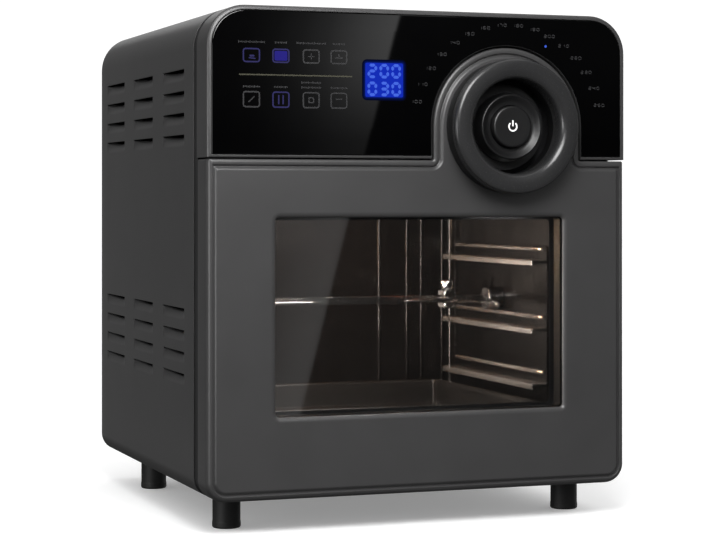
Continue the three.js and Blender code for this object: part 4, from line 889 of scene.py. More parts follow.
ICON_COLUMNS = [-128.0, -106.6, -84.4, -63.9]
ICON_TOP = 309.0
ICON_LOW = 278.5
ICON_WIDTH = 12.6
ICON_HEIGHTS = (10.0, 11.4)
ICON_LINE = 1.0
ICON_ROUND = 2.2
WORDS_TOP = [20.0, 9.5, 22.0, 10.0]
WORDS_LOW = [13.0, 10.5, 15.0, 13.5]
WORD_RISES = (9.2, 8.8, 12.2)
TICK_PITCH = 1.15
TICK_WIDTH = 0.8
TICK_HEIGHTS = (1.5, 0.9, 1.2, 1.0, 1.5, 0.9, 0.9)
TICK_ROUND = 0.2
FIELD_MARGIN = 3.2
FIELD_CORNER = 1.0
SMALL_FRAME = (4.2, 4.2, 0.8, 0.9)
LIT_BAR_SHIFT = 0.4
LIT_BAR = (3.4, 1.3, 0.4)
DIVIDER = (-95.5, 295.6, 83.0, 0.9, 0.2)
# Lines within the icons: column, row, both ends about the icon's middle, width
LIT_STROKES = [
    (0, ICON_TOP, (-2.0, -1.8), (3.0, -2.3), 0.8),
    (1, ICON_LOW, (-1.6, -3.2), (-1.6, 3.2), 1.0),
    (1, ICON_LOW, (1.6, -3.2), (1.6, 3.2), 1.0),
]
PALE_STROKES = [
    (2, ICON_TOP, (-2.2, 0.0), (2.2, 0.0), 0.7),
    (2, ICON_TOP, (0.0, -2.2), (0.0, 2.2), 0.7),
    (3, ICON_TOP, (-3.0, -0.6), (3.0, -0.6), 0.8),
    (3, ICON_TOP, (0.0, -0.6), (0.0, 2.2), 0.8),
    (0, ICON_LOW, (-2.2, -2.0), (2.2, 2.0), 0.7),
    (3, ICON_LOW, (-2.6, 1.0), (2.6, 1.0), 0.7),
]


def word(skin, x, z, width):
    """A row of short ticks, which stands for a printed word without any letters."""
    count = int(width / TICK_PITCH)
    for i in range(count):
        tall = TICK_HEIGHTS[i % len(TICK_HEIGHTS)]
        plate(skin, x + TICK_PITCH * (i - (count - 1) / 2), z, TICK_WIDTH, tall, TICK_ROUND)


def make_icons():
    lit, deep, pale, gold = Skin(), Skin(), Skin(), Skin()
    upper, lower = ICON_HEIGHTS
    top_rise, low_rise, second_rise = WORD_RISES
    for i, x in enumerate(ICON_COLUMNS):
        hollow_plate(lit if i < 2 else pale, x, ICON_TOP, ICON_WIDTH, upper, ICON_LINE, ICON_ROUND)
        hollow_plate(lit if i == 1 else pale, x, ICON_LOW, ICON_WIDTH, lower, ICON_LINE, ICON_ROUND)
        word(pale, x, ICON_TOP + top_rise, WORDS_TOP[i])
        word(pale, x, ICON_LOW + low_rise, WORDS_LOW[i])
    word(pale, ICON_COLUMNS[2], ICON_LOW + second_rise, WORDS_LOW[2])
    plate(deep, ICON_COLUMNS[1], ICON_TOP, ICON_WIDTH - FIELD_MARGIN, upper - FIELD_MARGIN, FIELD_CORNER)
    plate(lit, ICON_COLUMNS[0] + LIT_BAR_SHIFT, ICON_TOP - LIT_BAR_SHIFT, *LIT_BAR)
    hollow_plate(pale, ICON_COLUMNS[2], ICON_LOW, *SMALL_FRAME)
    for skin, strokes in ((lit, LIT_STROKES), (pale, PALE_STROKES)):
        for column, row, start, end, width in strokes:
            middle = Vector((ICON_COLUMNS[column], row))
            stroke(skin, middle + Vector(start), middle + Vector(end), width)
    plate(gold, *DIVIDER)
    piece("touch_marks_lit", lit, "icon_violet")
    piece("touch_mark_field", deep, "icon_deep")
    piece("touch_marks", pale, "icon_grey")
    piece("touch_divider", gold, "line_gold")


LABEL_CENTRE = (66.6, 260.9)
LABEL_RADIUS = 74.4
LABEL_COUNT = 16
LABEL_FIRST = 100
LABEL_RISE = 10
LABEL_START = 166.1
LABEL_STEP = 10.17
LABEL_PITCH = 3.2
LABEL_SIZE = (1.9, 1.9, 0.55)
TIMER_LIGHT = (95.7, 320.6, 0.9, 16)


def make_labels():
    skin = Skin()
    for i in range(LABEL_COUNT):
        angle = math.radians(LABEL_START - LABEL_STEP * i)
        x = LABEL_CENTRE[0] + LABEL_RADIUS * math.cos(angle)
        z = LABEL_CENTRE[1] + LABEL_RADIUS * math.sin(angle)
        for k, figure in enumerate(str(LABEL_FIRST + LABEL_RISE * i)):
            digit(skin, figure, x + LABEL_PITCH * (k - 1), z, *LABEL_SIZE)
    piece("dial_figures", skin, "icon_grey")
    dot = Skin()
    mark(dot, [circle(*TIMER_LIGHT)])
    piece("timer_light", dot, "display_blue")


# Door
DOOR_STEPS = [10, 10, 4, 4, 32, 32, 4, 4]
# Draws at the sides and along the top, and the depth, from the plate's back round to the face
DOOR_PROFILE = [
    (2.0, 2.0, DOOR_PLATE), (2.0, 2.0, DOOR_BACK - 0.3), (1.7, 1.7, DOOR_BACK), (0.3, 0.3, DOOR_BACK),
    (0.0, 0.0, DOOR_BACK - 0.3), (0.0, 0.0, 6.0), (0.1, 0.0, 4.6), (0.5, 0.0, 3.1), (1.2, 0.04, 1.7),
    (1.75, 0.2, 1.0), (2.5, 0.65, 0.5), (3.2, 1.35, 0.18), (3.8, 2.2, 0.0), (4.0, 3.6, 0.06),
    (4.2, 4.1, 0.4), (4.35, 4.3, 1.0), (4.45, 4.45, 1.6), (4.95, 4.95, 1.75), (5.4, 5.4, 1.6),
    (5.9, 5.9, 1.16), (6.4, 6.4, 0.68), (6.9, 6.9, 0.3), (7.4, 7.4, 0.08), (8.0, 8.0, 0.0),
]
WINDOW_ROUND = 3.0
WINDOW_EDGE = [(-4.0, 0.0), (-3.2, 0.05), (-2.3, 0.25), (-1.4, 0.7), (-0.7, 1.3), (-0.2, 1.95),
               (0.0, DOOR_PLATE)]
EYE_EDGE = [(EYE_RADIUS + 0.4, 0.0), (EYE_RADIUS, 0.4), (EYE_RADIUS, DOOR_PLATE)]


def door_corners(side, top):
    """The door's corners, drawn in by one amount at its sides and foot and another along its top."""
    edge, high, half = HALF_WIDTH - side, DOOR_TOP - top, LOBE_HALF - top
    corner = max(DOOR_CORNER - top, SMALLEST_CORNER)
    return [
        (-edge, side, BOTTOM_RADIUS - side),
        (edge, side, BOTTOM_RADIUS - side),
        (edge, high, corner),
        (DIAL_X + half, high, DOOR_CORNER + top),
        (DIAL_X + half, DIAL_Z + half, half),
        (DIAL_X - half, DIAL_Z + half, half),
        (DIAL_X - half, high, DOOR_CORNER + top),
        (-edge, high, corner),
    ]


def make_door_panel():
    """The painted pan with its raised lobe, the window, the dial's eye and notches for the hinges."""
    skin = Skin()
    rings = [skin.ring(lay(outline(door_corners(side, top), DOOR_STEPS), y)) for side, top, y in DOOR_PROFILE]
    skin.strip(rings)
    window = box_corners(-WINDOW_HALF, WINDOW_HALF, WINDOW_LOW, WINDOW_HIGH, WINDOW_ROUND)
    view = rims(skin, window, WINDOW_EDGE, 6)
    eye = [skin.ring(lay(circle(DIAL_X, DIAL_Z, radius, 96), y)) for radius, y in EYE_EDGE]
    skin.strip(eye)
    skin.fill([rings[-1], view[0], eye[0]])
    skin.fill([rings[0], view[-1], eye[-1]])
    panel = piece("door_panel_pan", skin, "body_paint", "door", ("door_panel",), crease=WIDE_CREASE)
    notches = []
    for x in (-HINGE_X, HINGE_X):
        loop = rectangle(x - NOTCH_HALF, x + NOTCH_HALF, NOTCH_LOW, NOTCH_TOP)
        notches.append(block(Skin(), loop, NOTCH_FRONT, DOOR_BACK + CUT_OVER))
    carve(panel, notches, WIDE_CREASE)
    even_shading(panel)


FOLD_OUTER = 158.3
FOLD_INNER = 149.6
FOLD_LOW = 40.0
FOLD_TOP = 235.5
FOLD_UNDER = 227.0
FOLD_DEPTHS = (22.05, 23.2)
FOLD_ENDS = {"left": 4.0, "right": 126.0}


def make_door_flanges():
    """The pan's edges, folded in behind the liner's at both sides and along the top beside the lobe."""
    for side, sign in SIDES:
        end = sign * FOLD_ENDS[side]
        corners = [(FOLD_OUTER, FOLD_LOW), (FOLD_OUTER, FOLD_TOP), (end, FOLD_TOP), (end, FOLD_UNDER),
                   (FOLD_INNER, FOLD_UNDER), (FOLD_INNER, FOLD_LOW)]
        skin = slab(Skin(), [[(sign * x, z) for x, z in corners]], *FOLD_DEPTHS)
        piece(f"door_flange_{side}", skin, "body_paint", "door", bevel=0.3)


LINER_EDGE = box_corners(-150.0, 150.0, 22.0, 226.5, 8.0)
LINER_STEP = box_corners(-123.0, 123.0, 47.0, 206.0, 6.0)
LINER_VIEW = box_corners(-108.0, 108.0, 59.5, 194.5, 3.0)
LINER_FRONT = 20.25
LINER_SUNK = 20.95
LINER_BACK = 21.75


def make_door_liner():
    """The inner sheet, its middle sunk in a soft step round the inner pane."""
    skin = Skin()
    edge = rims(skin, LINER_EDGE, [(0.0, LINER_FRONT), (0.0, 21.3), (0.15, 21.6), (0.45, LINER_BACK)], 8)
    step = rims(skin, LINER_STEP, [(0.0, LINER_BACK), (1.0, 21.5), (2.5, 21.05), (3.5, LINER_SUNK)], 8)
    view = rims(skin, LINER_VIEW, [(-0.5, LINER_SUNK), (-0.15, 20.8), (0.0, LINER_FRONT)], 6)
    skin.fill([edge[-1], step[0]])
    skin.fill([step[-1], view[0]])
    skin.fill([edge[0], view[-1]])
    piece("door_liner_sheet", skin, "dark_sheet", "door", ("door_liner",), crease=SOFT_CREASE, even=True)


# Screws
SCREW_DOME = [(0.0, 1.0), (0.35, 0.97), (0.7, 0.78), (0.93, 0.42), (1.0, 0.15), (1.0, 0.0)]
SCREW_SHANK = [(1.75, 0.0), (1.75, -7.5), (1.2, -8.0), (0.0, -8.0)]
RECESS_SPAN = 1.05
RECESS_WIDTH = 0.75
RECESS_FROM = 0.45
REAR_SCREW_HEAD = (4.0, 2.0)
LINER_SCREW_HEAD = (3.0, 1.4)
LINER_SCREW_X = 142.0
LINER_SCREW_Y = 21.6
LINER_SCREW_LEVELS = {"low": 30.0, "high": 218.5}


def screw(name, x, y, z, body, size, end, replaces=()):
    """A pan-head screw with a cross recess, its head standing backwards from y."""
    head, height = size
    profile = [(head * wide, height * tall) for wide, tall in SCREW_DOME] + end
    skin = lathe(Skin(), [(radius, y + along) for radius, along in profile], "Y", (x, z), 24)
    made = piece(name, skin, "hinge_steel", body, replaces)
    cutters = []
    for wide, tall in ((head * RECESS_SPAN, RECESS_WIDTH), (RECESS_WIDTH, head * RECESS_SPAN)):
        loop = rectangle(x - wide / 2, x + wide / 2, z - tall / 2, z + tall / 2)
        cutters.append(block(Skin(), loop, y + height * RECESS_FROM, y + height + CUT_OVER))
    carve(made, cutters, CREASE)


def make_screws():
    for side, sign in SIDES:
        for level, z in REAR_SCREW_LEVELS.items():
            name = f"rear_screw_{level}_{side}"
            screw(f"{name}_head", sign * REAR_SCREW_X, REAR_BACK, z, "oven", REAR_SCREW_HEAD,
                  SCREW_SHANK, (name,))
        for level, z in LINER_SCREW_LEVELS.items():
            screw(f"liner_screw_{level}_{side}", sign * LINER_SCREW_X, LINER_SCREW_Y, z, "door",
                  LINER_SCREW_HEAD, [(0.0, 0.0)])


# Ring handle, dial and button: each profile point is radius, depth and its own rounding
RING_GRIP = [(34.0, -5.0, 0.5), (34.0, -20.0, 6.8), (48.5, -20.0, 4.2), (48.5, -12.0, 2.2),
             (46.5, -11.0, 0.6), (36.0, -5.0, 0.5)]
RING_SLEEVE = [(34.15, 4.0, 0.4), (34.15, -8.0, 0.4), (38.5, -9.0, 0.4), (38.5, -12.5, 0.4),
               (47.9, -12.5, 0.4), (47.9, -0.25, 0.8), (36.5, -0.25, 0.3), (36.5, 4.0, 0.3)]
KNOB = [(15.5, -4.6, 0.3), (18.6, -4.9, 1.5), (21.4, -7.0, 1.2), (22.6, -8.0, 0.8), (23.6, -7.2, 0.8),
        (24.6, -1.0, 2.0), (25.0, 2.6, 0.8), (25.0, 4.0, 0.4), (18.0, 4.0, 0.3), (18.0, 18.0, 0.3),
        (15.5, 18.0, 0.3)]
BUTTON = [(4.0, 16.0, 0.3), (4.0, -8.0, 0.3), (13.0, -8.0, 0.3), (13.0, 0.0, 0.2), (15.0, 0.0, 0.2),
          (15.0, -9.0, 0.6), (14.0, -9.8, 0.6), (8.0, -9.55, 2.0), (0.0, -9.5, 0.0), (0.0, 16.0, 0.0)]
CUP = [(18.5, 4.5, 0.3), (20.5, 4.5, 0.3), (20.5, 6.0, 0.3), (31.0, 6.0, 0.6), (31.0, 23.5, 0.3),
       (29.0, 23.5, 0.3), (29.0, 8.0, 0.3), (20.5, 8.0, 0.3), (20.5, 23.5, 0.3), (18.5, 23.5, 0.3)]
POWER_RADII = (3.6, 2.5)
POWER_START = 128.0
POWER_SWEEP = 284.0
POWER_STEPS = 40
POWER_STEM = (-0.55, 0.55, 0.2, 4.6)
POWER_DEPTHS = (-9.58, -9.45)


def dial_lathe(name, profile, material, body, replaces=()):
    skin = lathe(Skin(), soft_profile(profile, 5, closed=True), "Y", (DIAL_X, DIAL_Z), 96, closed=True)
    piece(name, skin, material, body, replaces, crease=SOFT_CREASE)


def make_ring_handle():
    dial_lathe("ring_handle_grip", RING_GRIP, "handle_paint", "door", ("ring_handle",))
    # The sleeve's black is painted shade, in the gap under the grip and in the bore.
    dial_lathe("ring_handle_sleeve", RING_SLEEVE, "black_and_painted_shade", "door")


def make_power_mark():
    """An open circle with a stem in its gap."""
    angles = [math.radians(POWER_START + POWER_SWEEP * i / POWER_STEPS) for i in range(POWER_STEPS + 1)]
    outer, inner = ([(radius * math.cos(a), radius * math.sin(a)) for a in angles] for radius in POWER_RADII)
    skin = Skin()
    for loop in (outer + inner[::-1], rectangle(*POWER_STEM)):
        slab(skin, [[(DIAL_X + x, DIAL_Z + z) for x, z in loop]], *POWER_DEPTHS)
    piece("power_mark", skin, "mark_white", "button")


def make_dial():
    dial_lathe("dial_knob_grip", KNOB, "gloss_black", "dial", ("dial_knob",))
    cap = lathe(Skin(), soft_profile(BUTTON, 4), "Y", (DIAL_X, DIAL_Z), 72)
    piece("power_button_cap", cap, "gloss_black", "button", ("power_button",))
    make_power_mark()
    dial_lathe("dial_housing_cup", CUP, "matt_black", "oven", ("dial_housing",))


# Feet and rear cover
FOOT_X = 132.5
FOOT_ROWS = {"front": 46.5, "rear": 256.0}
FOOT_PROFILE = [(0.0, -23.9, 0.0), (6.0, -24.0, 0.3), (9.4, -24.0, 0.6), (10.3, -22.9, 0.6),
                (10.2, -19.5, 0.3), (10.0, -18.9, 0.3), (10.0, -3.0, 1.0), (9.8, -0.2, 0.3),
                (9.4, 1.75, 0.2), (0.0, 1.75, 0.0)]
REAR_GAP = 1.75
REAR_EDGE = [(0.0, REAR_FRONT), (0.0, 323.1), (0.12, 323.38), (0.4, REAR_BACK)]
VENT_X = 70.0
VENT_LOW = 196.0
VENT_PITCH = 12.0
VENT_ROWS = 6
VENT_LENGTH = 56.0
VENT_HEIGHT = 4.0
VENT_CORNER = VENT_HEIGHT / 2 - 0.01
SCREW_HOLE = 2.0
CORD_HOLE = (110.0, 42.0, 8.25, 40)


def make_feet():
    line = soft_profile(FOOT_PROFILE, 4)
    for depth, y in FOOT_ROWS.items():
        for side, sign in SIDES:
            skin = lathe(Skin(), line, "Z", (sign * FOOT_X, y), 48)
            piece(f"foot_{depth}_{side}_pad", skin, "rubber", replaces=(f"foot_{depth}_{side}",))


def rear_corners():
    """The rear cover's corners, a gap inside the outer cover all round."""
    side, low, high = HALF_WIDTH - REAR_GAP, REAR_GAP, BODY_HEIGHT - REAR_GAP
    radii = [BOTTOM_RADIUS - REAR_GAP] * 2 + [TOP_RADIUS - REAR_GAP] * 2
    return [(x, z, radius) for (x, z), radius in zip(rectangle(-side, side, low, high), radii)]


def make_rear_cover():
    skin = Skin()
    rings = rims(skin, rear_corners(), REAR_EDGE, [8, 8, 12, 12])
    holes = []
    for _, sign in SIDES:
        for row in range(VENT_ROWS):
            vent = middle_corners(sign * VENT_X, VENT_LOW + VENT_PITCH * row, VENT_LENGTH, VENT_HEIGHT,
                                VENT_CORNER)
            holes.append(outline(vent, 6))
        holes += [circle(sign * REAR_SCREW_X, z, SCREW_HOLE, 20) for z in REAR_SCREW_LEVELS.values()]
    holes.append(circle(*CORD_HOLE))
    walls = [wall(skin, hole, REAR_FRONT, REAR_BACK) for hole in holes]
    skin.fill([rings[0]] + [near for near, _ in walls])
    skin.fill([rings[-1]] + [far for _, far in walls])
    piece("rear_cover_sheet", skin, "dark_sheet", replaces=("rear_cover",), even=True)


# Chamber, rails and tray
BEND_STEPS = 6
BEND_LIMIT = 4.9
CHAMBER_LAP = 1.0
LAMP_HOLE = 18.0
HEATER_HOLE = ((0.0, FAN_Y), 94.0, 205.0, 225.0, 72)
SPIT_HOLE = ((SPIT_Y, SPIT_Z), 5.5, 115.0, 140.0, 32)
RIB_COLUMNS = (-112.0, -60.0, -35.0, 60.0, 85.0, 98.0, 117.0)
RIB_LINE = [(251.9, 46.0), (251.2, 50.0), (251.2, 200.0), (251.9, 204.0)]
RIB_RADIUS = 1.6


def make_chamber():
    """A pan open to the front, its rear wall in a soft bend, with a hole for the lamp."""
    skin = Skin()
    inner = (-CHAMBER_HALF, CHAMBER_HALF, CHAMBER_LOW, CHAMBER_HIGH)
    outer = (-CHAMBER_HALF - SHEET, CHAMBER_HALF + SHEET, CHAMBER_LOW - SHEET, CHAMBER_HIGH + SHEET)
    profile = [(-SHEET, CHAMBER_BACK - CHAMBER_LAP), (-SHEET, CHAMBER_FRONT), (0.0, CHAMBER_FRONT)]
    for i in range(BEND_STEPS + 1):
        turn = math.pi / 2 * i / BEND_STEPS
        draw = CHAMBER_ROUND - CHAMBER_ROUND * math.cos(turn)
        profile.append((min(draw, BEND_LIMIT), CHAMBER_BACK - CHAMBER_ROUND + CHAMBER_ROUND * math.sin(turn)))
    rings = rims(skin, box_corners(*inner, CHAMBER_ROUND), profile, 6)
    rear = CHAMBER_BACK + SHEET
    hole, rear_hole = wall(skin, circle(LAMP_X, LAMP_Z, LAMP_HOLE, 48), CHAMBER_BACK, rear)
    skin.fill([rings[-1], hole])
    back = skin.ring(lay(outline(box_corners(*outer, CHAMBER_ROUND), 6), rear))
    skin.bridge(rings[0], back)
    skin.fill([back, rear_hole])
    made = piece("oven_chamber_pan", skin, "chamber_steel", replaces=("oven_chamber",), crease=SOFT_CREASE)
    carve(made, [rod("Z", *HEATER_HOLE), rod("X", *SPIT_HOLE)], SOFT_CREASE)
    ribs = Skin()
    for x in RIB_COLUMNS:
        tube(ribs, [(x, y, z) for y, z in RIB_LINE], RIB_RADIUS, 10)
    piece("chamber_ribs", ribs, "chamber_steel", crease=WIDE_CREASE)


RAIL_WALL = 125.75
RAIL_INNER = 124.75
RAIL_PLATE = box_corners(60.0, 240.0, 60.0, 174.0, 4.0)
RAIL_WINDOW = box_corners(134.0, 166.0, 114.0, 146.0, 4.0)
RAIL_LEVELS = (68.0, 110.0, 162.0)
LEDGE_ENDS = (61.0, 239.0)
# The ledge's folded section: how far it stands in, and its height over the level
LEDGE_SECTION = [(0.0, 1.0), (11.2, 1.0), (12.0, 0.2), (12.0, -3.4), (11.0, -3.4), (11.0, -0.4),
                 (10.6, 0.0), (0.0, 0.0)]
BEAD_LINE = [(0.0, 64.0), (1.6, 68.0), (1.6, 232.0), (0.0, 236.0)]
BEAD_RISE = 9.0
BEAD_RADIUS = 1.7


def make_rails():
    """A plate on each side wall, with a folded ledge at each level and a bead over it."""
    for side, sign in SIDES:
        inner = sign * RAIL_INNER
        loops = [outline(shape, 5) for shape in (RAIL_PLATE, RAIL_WINDOW)]
        plate_skin = slab(Skin(), loops, sign * RAIL_WALL, inner, "X")
        ledges, beads = Skin(), Skin()
        for z in RAIL_LEVELS:
            section = [(inner - sign * x, z + rise) for x, rise in LEDGE_SECTION]
            block(ledges, section, *LEDGE_ENDS)
            tube(beads, [(inner - sign * x, y, z + BEAD_RISE) for x, y in BEAD_LINE], BEAD_RADIUS)
        rail = f"rack_rail_{side}"
        piece(f"{rail}_plate", plate_skin, "chamber_steel", replaces=(rail,), bevel=0.2)
        piece(f"{rail}_ledges", ledges, "bright_steel", bevel=0.3)
        piece(f"{rail}_beads", beads, "bright_steel", crease=WIDE_CREASE)


TRAY_RIM = box_corners(-110.0, 110.0, 38.0, 242.0, 9.0)
TRAY_PROFILE = [(5.4, 36.4), (5.0, 38.0), (5.0, 55.6), (4.2, 56.6), (1.2, 56.75), (0.3, 57.0), (0.0, 57.5),
                (0.3, 58.0), (1.2, 58.25), (4.8, 58.25), (6.0, 57.4), (6.2, 55.0), (6.2, 40.0), (7.0, 38.2),
                (8.8, 37.4)]


def make_tray():
    """A shallow pan with soft corners and a rolled rim."""
    skin = Skin()
    rings = rims(skin, TRAY_RIM, TRAY_PROFILE, 8, "Z")
    skin.fill([rings[0]], "Z")
    skin.fill([rings[-1]], "Z")
    piece("drip_tray_pan", skin, "pan_steel", replaces=("drip_tray",), crease=WIDE_CREASE, even=True)


# Spit and forks
SPIT_HALF = 3.0
SPIT_ENDS = [(-112.5, 0.75), (-111.0, 1.0), (120.0, 1.0), (121.0, 0.8)]
JOURNAL = [(0.0, -125.5), (2.4, -125.5), (3.0, -124.6), (3.0, -115.0), (2.6, -113.0), (0.0, -113.0)]
FORK_X = 80.0
HUB_HALF = 7.0
HUB_LENGTH = 5.0
HUB_ENDS = [(-HUB_LENGTH, 0.94), (-4.4, 1.0), (4.4, 1.0), (HUB_LENGTH, 0.94)]
BORE_HALF = 3.25
PRONG_ROOT = 5.0
PRONG_ARM = 16.0
PRONG_BEND = 6.0
PRONG_Y = PRONG_ARM + PRONG_BEND
PRONG_RADIUS = 1.75
PRONG_TIP = 0.25
PRONG_LENGTH = 45.0
PRONG_STRAIGHT = 20.0
PRONG_POINT = 9.0
KNOB_PROFILE = [(0.0, 15.25), (3.6, 15.25), (4.6, 14.6), (5.0, 13.8), (5.0, 9.0), (4.4, 7.8), (3.0, 7.25),
                (2.0, 7.25), (2.0, 4.25), (0.0, 4.25)]
KNURL_FROM = 4.5
KNURL_DEPTH = 0.3
KNURL_COUNT = 12


def soft_square(half, radius, steps):
    return soften_line(rectangle(-half, half, -half, half), radius, steps, closed=True)


def on_spit(skin, loop, sections):
    """Rings of a loop about the spit's line, for sections of (x, share of the loop's size)."""
    return [skin.ring(lay([(SPIT_Y + y * share, SPIT_Z + z * share) for y, z in loop], x, "X"))
            for x, share in sections]


def make_spit():
    skin = Skin()
    rings = on_spit(skin, soft_square(SPIT_HALF, 0.7, 3), SPIT_ENDS)
    skin.strip(rings)
    skin.cap(rings[0][::-1])
    skin.cap(rings[-1])
    lathe(skin, JOURNAL, "X", (SPIT_Y, SPIT_Z), 28)
    piece("spit_rod_bar", skin, "spit_steel", "spit", ("spit_rod",), even=True)
    for side, sign in SIDES:
        make_fork(side, sign)


def prong_path(x, sign, hand):
    """From the hub outwards, round a bend and along the spit to the point."""
    tip = x - sign * PRONG_LENGTH
    path = [(x, PRONG_ROOT), (x, PRONG_ARM)]
    for i in range(1, BEND_STEPS + 1):
        turn = math.pi / 2 * i / BEND_STEPS
        path.append((x - sign * PRONG_BEND * (1 - math.cos(turn)), PRONG_ARM + PRONG_BEND * math.sin(turn)))
    path += [(x - sign * PRONG_STRAIGHT, PRONG_Y), (tip + sign * PRONG_POINT, PRONG_Y), (tip, PRONG_Y)]
    return [(along, SPIT_Y + hand * out, SPIT_Z) for along, out in path]


def knurl(turn, radius):
    """Notches round the widest part of a thumb screw's head."""
    return -KNURL_DEPTH * (radius > KNURL_FROM) * (math.sin(turn * KNURL_COUNT) > 0)


def make_fork(side, sign):
    """A fork whose bent arms carry two pointed prongs, with its hub and thumb screw on the spit."""
    x = sign * FORK_X
    skin = Skin()
    outer = on_spit(skin, soft_square(HUB_HALF, 1.6, 4), [(x + dx, share) for dx, share in HUB_ENDS])
    bore = on_spit(skin, soft_square(BORE_HALF, 0.5, 2), [(x - HUB_LENGTH, 1.0), (x + HUB_LENGTH, 1.0)])
    skin.strip(outer)
    skin.strip(bore)
    skin.fill([outer[0], bore[0]], "X")
    skin.fill([outer[-1], bore[-1]], "X")
    for hand in (-1, 1):
        path = prong_path(x, sign, hand)
        tube(skin, path, [PRONG_RADIUS] * (len(path) - 1) + [PRONG_TIP], 14)
    piece(f"fork_{side}_prongs", skin, "spit_steel", f"{side}_fork", (f"fork_{side}",))
    profile = [(radius, SPIT_Z + along) for radius, along in KNOB_PROFILE]
    head = lathe(Skin(), profile, "Z", (x, SPIT_Y), 48, lobes=knurl)
    piece(f"fork_screw_{side}_knob", head, "spit_steel", f"{side}_fork", (f"fork_screw_{side}",))


# Heating element and its guard
COIL_RADIUS = 84.0
COIL_DRAW = 12.0
COIL_LEVEL = 227.5
COIL_TURNS = 2
COIL_STEPS = 120
COIL_BEND = 6.0
TERMINAL_TOP = 251.0
TERMINAL_FOOT = 236.0
SHEATH_RADIUS = 3.25
GUARD_RADIUS = 100.0
GUARD_LEVELS = (212.25, 213.75)
GUARD_SLOTS = 20
GUARD_SLOT = box_corners(26.0, 88.0, -3.5, 3.5, 3.4)


def make_heating_element():
    """The element's smooth tube, drawn in over two turns between its two upright ends."""
    last = COIL_RADIUS - COIL_DRAW
    path = [(0.0, FAN_Y + COIL_RADIUS, TERMINAL_TOP), (0.0, FAN_Y + COIL_RADIUS, TERMINAL_FOOT)]
    for i in range(COIL_STEPS + 1):
        share = i / COIL_STEPS
        radius = COIL_RADIUS - COIL_DRAW * share
        angle = math.pi / 2 + 2 * math.pi * COIL_TURNS * share
        path.append((radius * math.cos(angle), FAN_Y + radius * math.sin(angle), COIL_LEVEL))
    path += [(0.0, FAN_Y + last, TERMINAL_FOOT), (0.0, FAN_Y + last, TERMINAL_TOP)]
    line = path[:2] + soften_line(path[1:5], COIL_BEND)[1:-1] + path[4:-4]
    line += soften_line(path[-5:-1], COIL_BEND)[1:-1] + path[-2:]
    piece("heating_element_tube", tube(Skin(), line, SHEATH_RADIUS, 14), "heater_sheath",
          replaces=("heating_element",))


def make_element_guard():
    """A round plate with slots that point away from its middle."""
    loops = [circle(0.0, FAN_Y, GUARD_RADIUS, 96)]
    for turn in turns(GUARD_SLOTS):
        cosine, sine = math.cos(turn), math.sin(turn)
        loops.append([(x * cosine - y * sine, FAN_Y + x * sine + y * cosine)
                      for x, y in outline(GUARD_SLOT, 5)])
    skin = slab(Skin(), loops, *GUARD_LEVELS, "Z")
    piece("element_guard_plate", skin, "bright_steel", replaces=("element_guard",), even=True)


# Seal and lamp
SEAL_LINE = box_corners(-134.0, 134.0, 28.0, 222.0, 10.0)
SEAL_PROFILE = [(0.0, 24.4, 0.5), (0.0, 26.0, 0.1), (6.0, 26.0, 0.1), (6.0, 24.4, 0.5), (4.6, 22.3, 1.2),
                (3.0, 21.8, 1.2), (1.4, 22.3, 1.2)]
LENS_PROFILE = [(0.0, 249.75), (19.0, 249.75), (21.4, 250.1), (22.0, 251.0), (22.0, 251.75), (0.0, 251.75)]


def make_seal():
    skin = Skin()
    rings = rims(skin, SEAL_LINE, soft_profile(SEAL_PROFILE, 3, closed=True), 8)
    skin.bridge(rings[-1], rings[0])
    piece("door_seal_loop", skin, "rubber", replaces=("door_seal",))


def make_lamp_lens():
    skin = lathe(Skin(), LENS_PROFILE, "Y", (LAMP_X, LAMP_Z))
    piece("lamp_lens_disc", skin, "lamp_glass", replaces=("lamp_lens",))


# Nodes of the frame that keep their shape, or only get softer edges
NODE_FINISHES = {
    "circuit_board": ["control_board", "power_board"],
    "matt_black": ["display_module", "dial_encoder", "door_switch", "cord_inlet"],
    "window_glass": ["window_outer_pane"],
    "inner_glass": ["window_inner_pane"],
    "dark_sheet": ["base_pan", "front_frame"],
    "bright_steel": ["heat_dome"],
    "hinge_steel": ["switch_plunger"],
    "motor_steel": ["motor_shaft"],
    "fan_aluminium": ["convection_fan", "cooling_fan", "lamp_holder"],
    "lamp_bulb": ["oven_lamp"],
    "black_and_painted_shade": ["window_spacer"],
}
SOFT_COPIES = [
    ("rotisserie_motor", "motor_steel", 0.8),
    ("fan_motor", "motor_steel", 0.8),
    ("motor_bracket", "dark_sheet", 0.4),
    ("drive_socket", "spit_steel", 0.5),
    ("spit_rest", "bright_steel", 0.4),
] + [(f"hinge_{part}_{side}", "hinge_steel", 0.3)
     for side, _ in SIDES for part in ("bracket", "pin", "clevis")]


def dress_nodes():
    for material, names in NODE_FINISHES.items():
        for name in names:
            slots = frame["nodes"][name].data.materials
            slots.clear()
            slots.append(materials[material])
    for node, material, bevel in SOFT_COPIES:
        soft_copy(node, material, bevel)


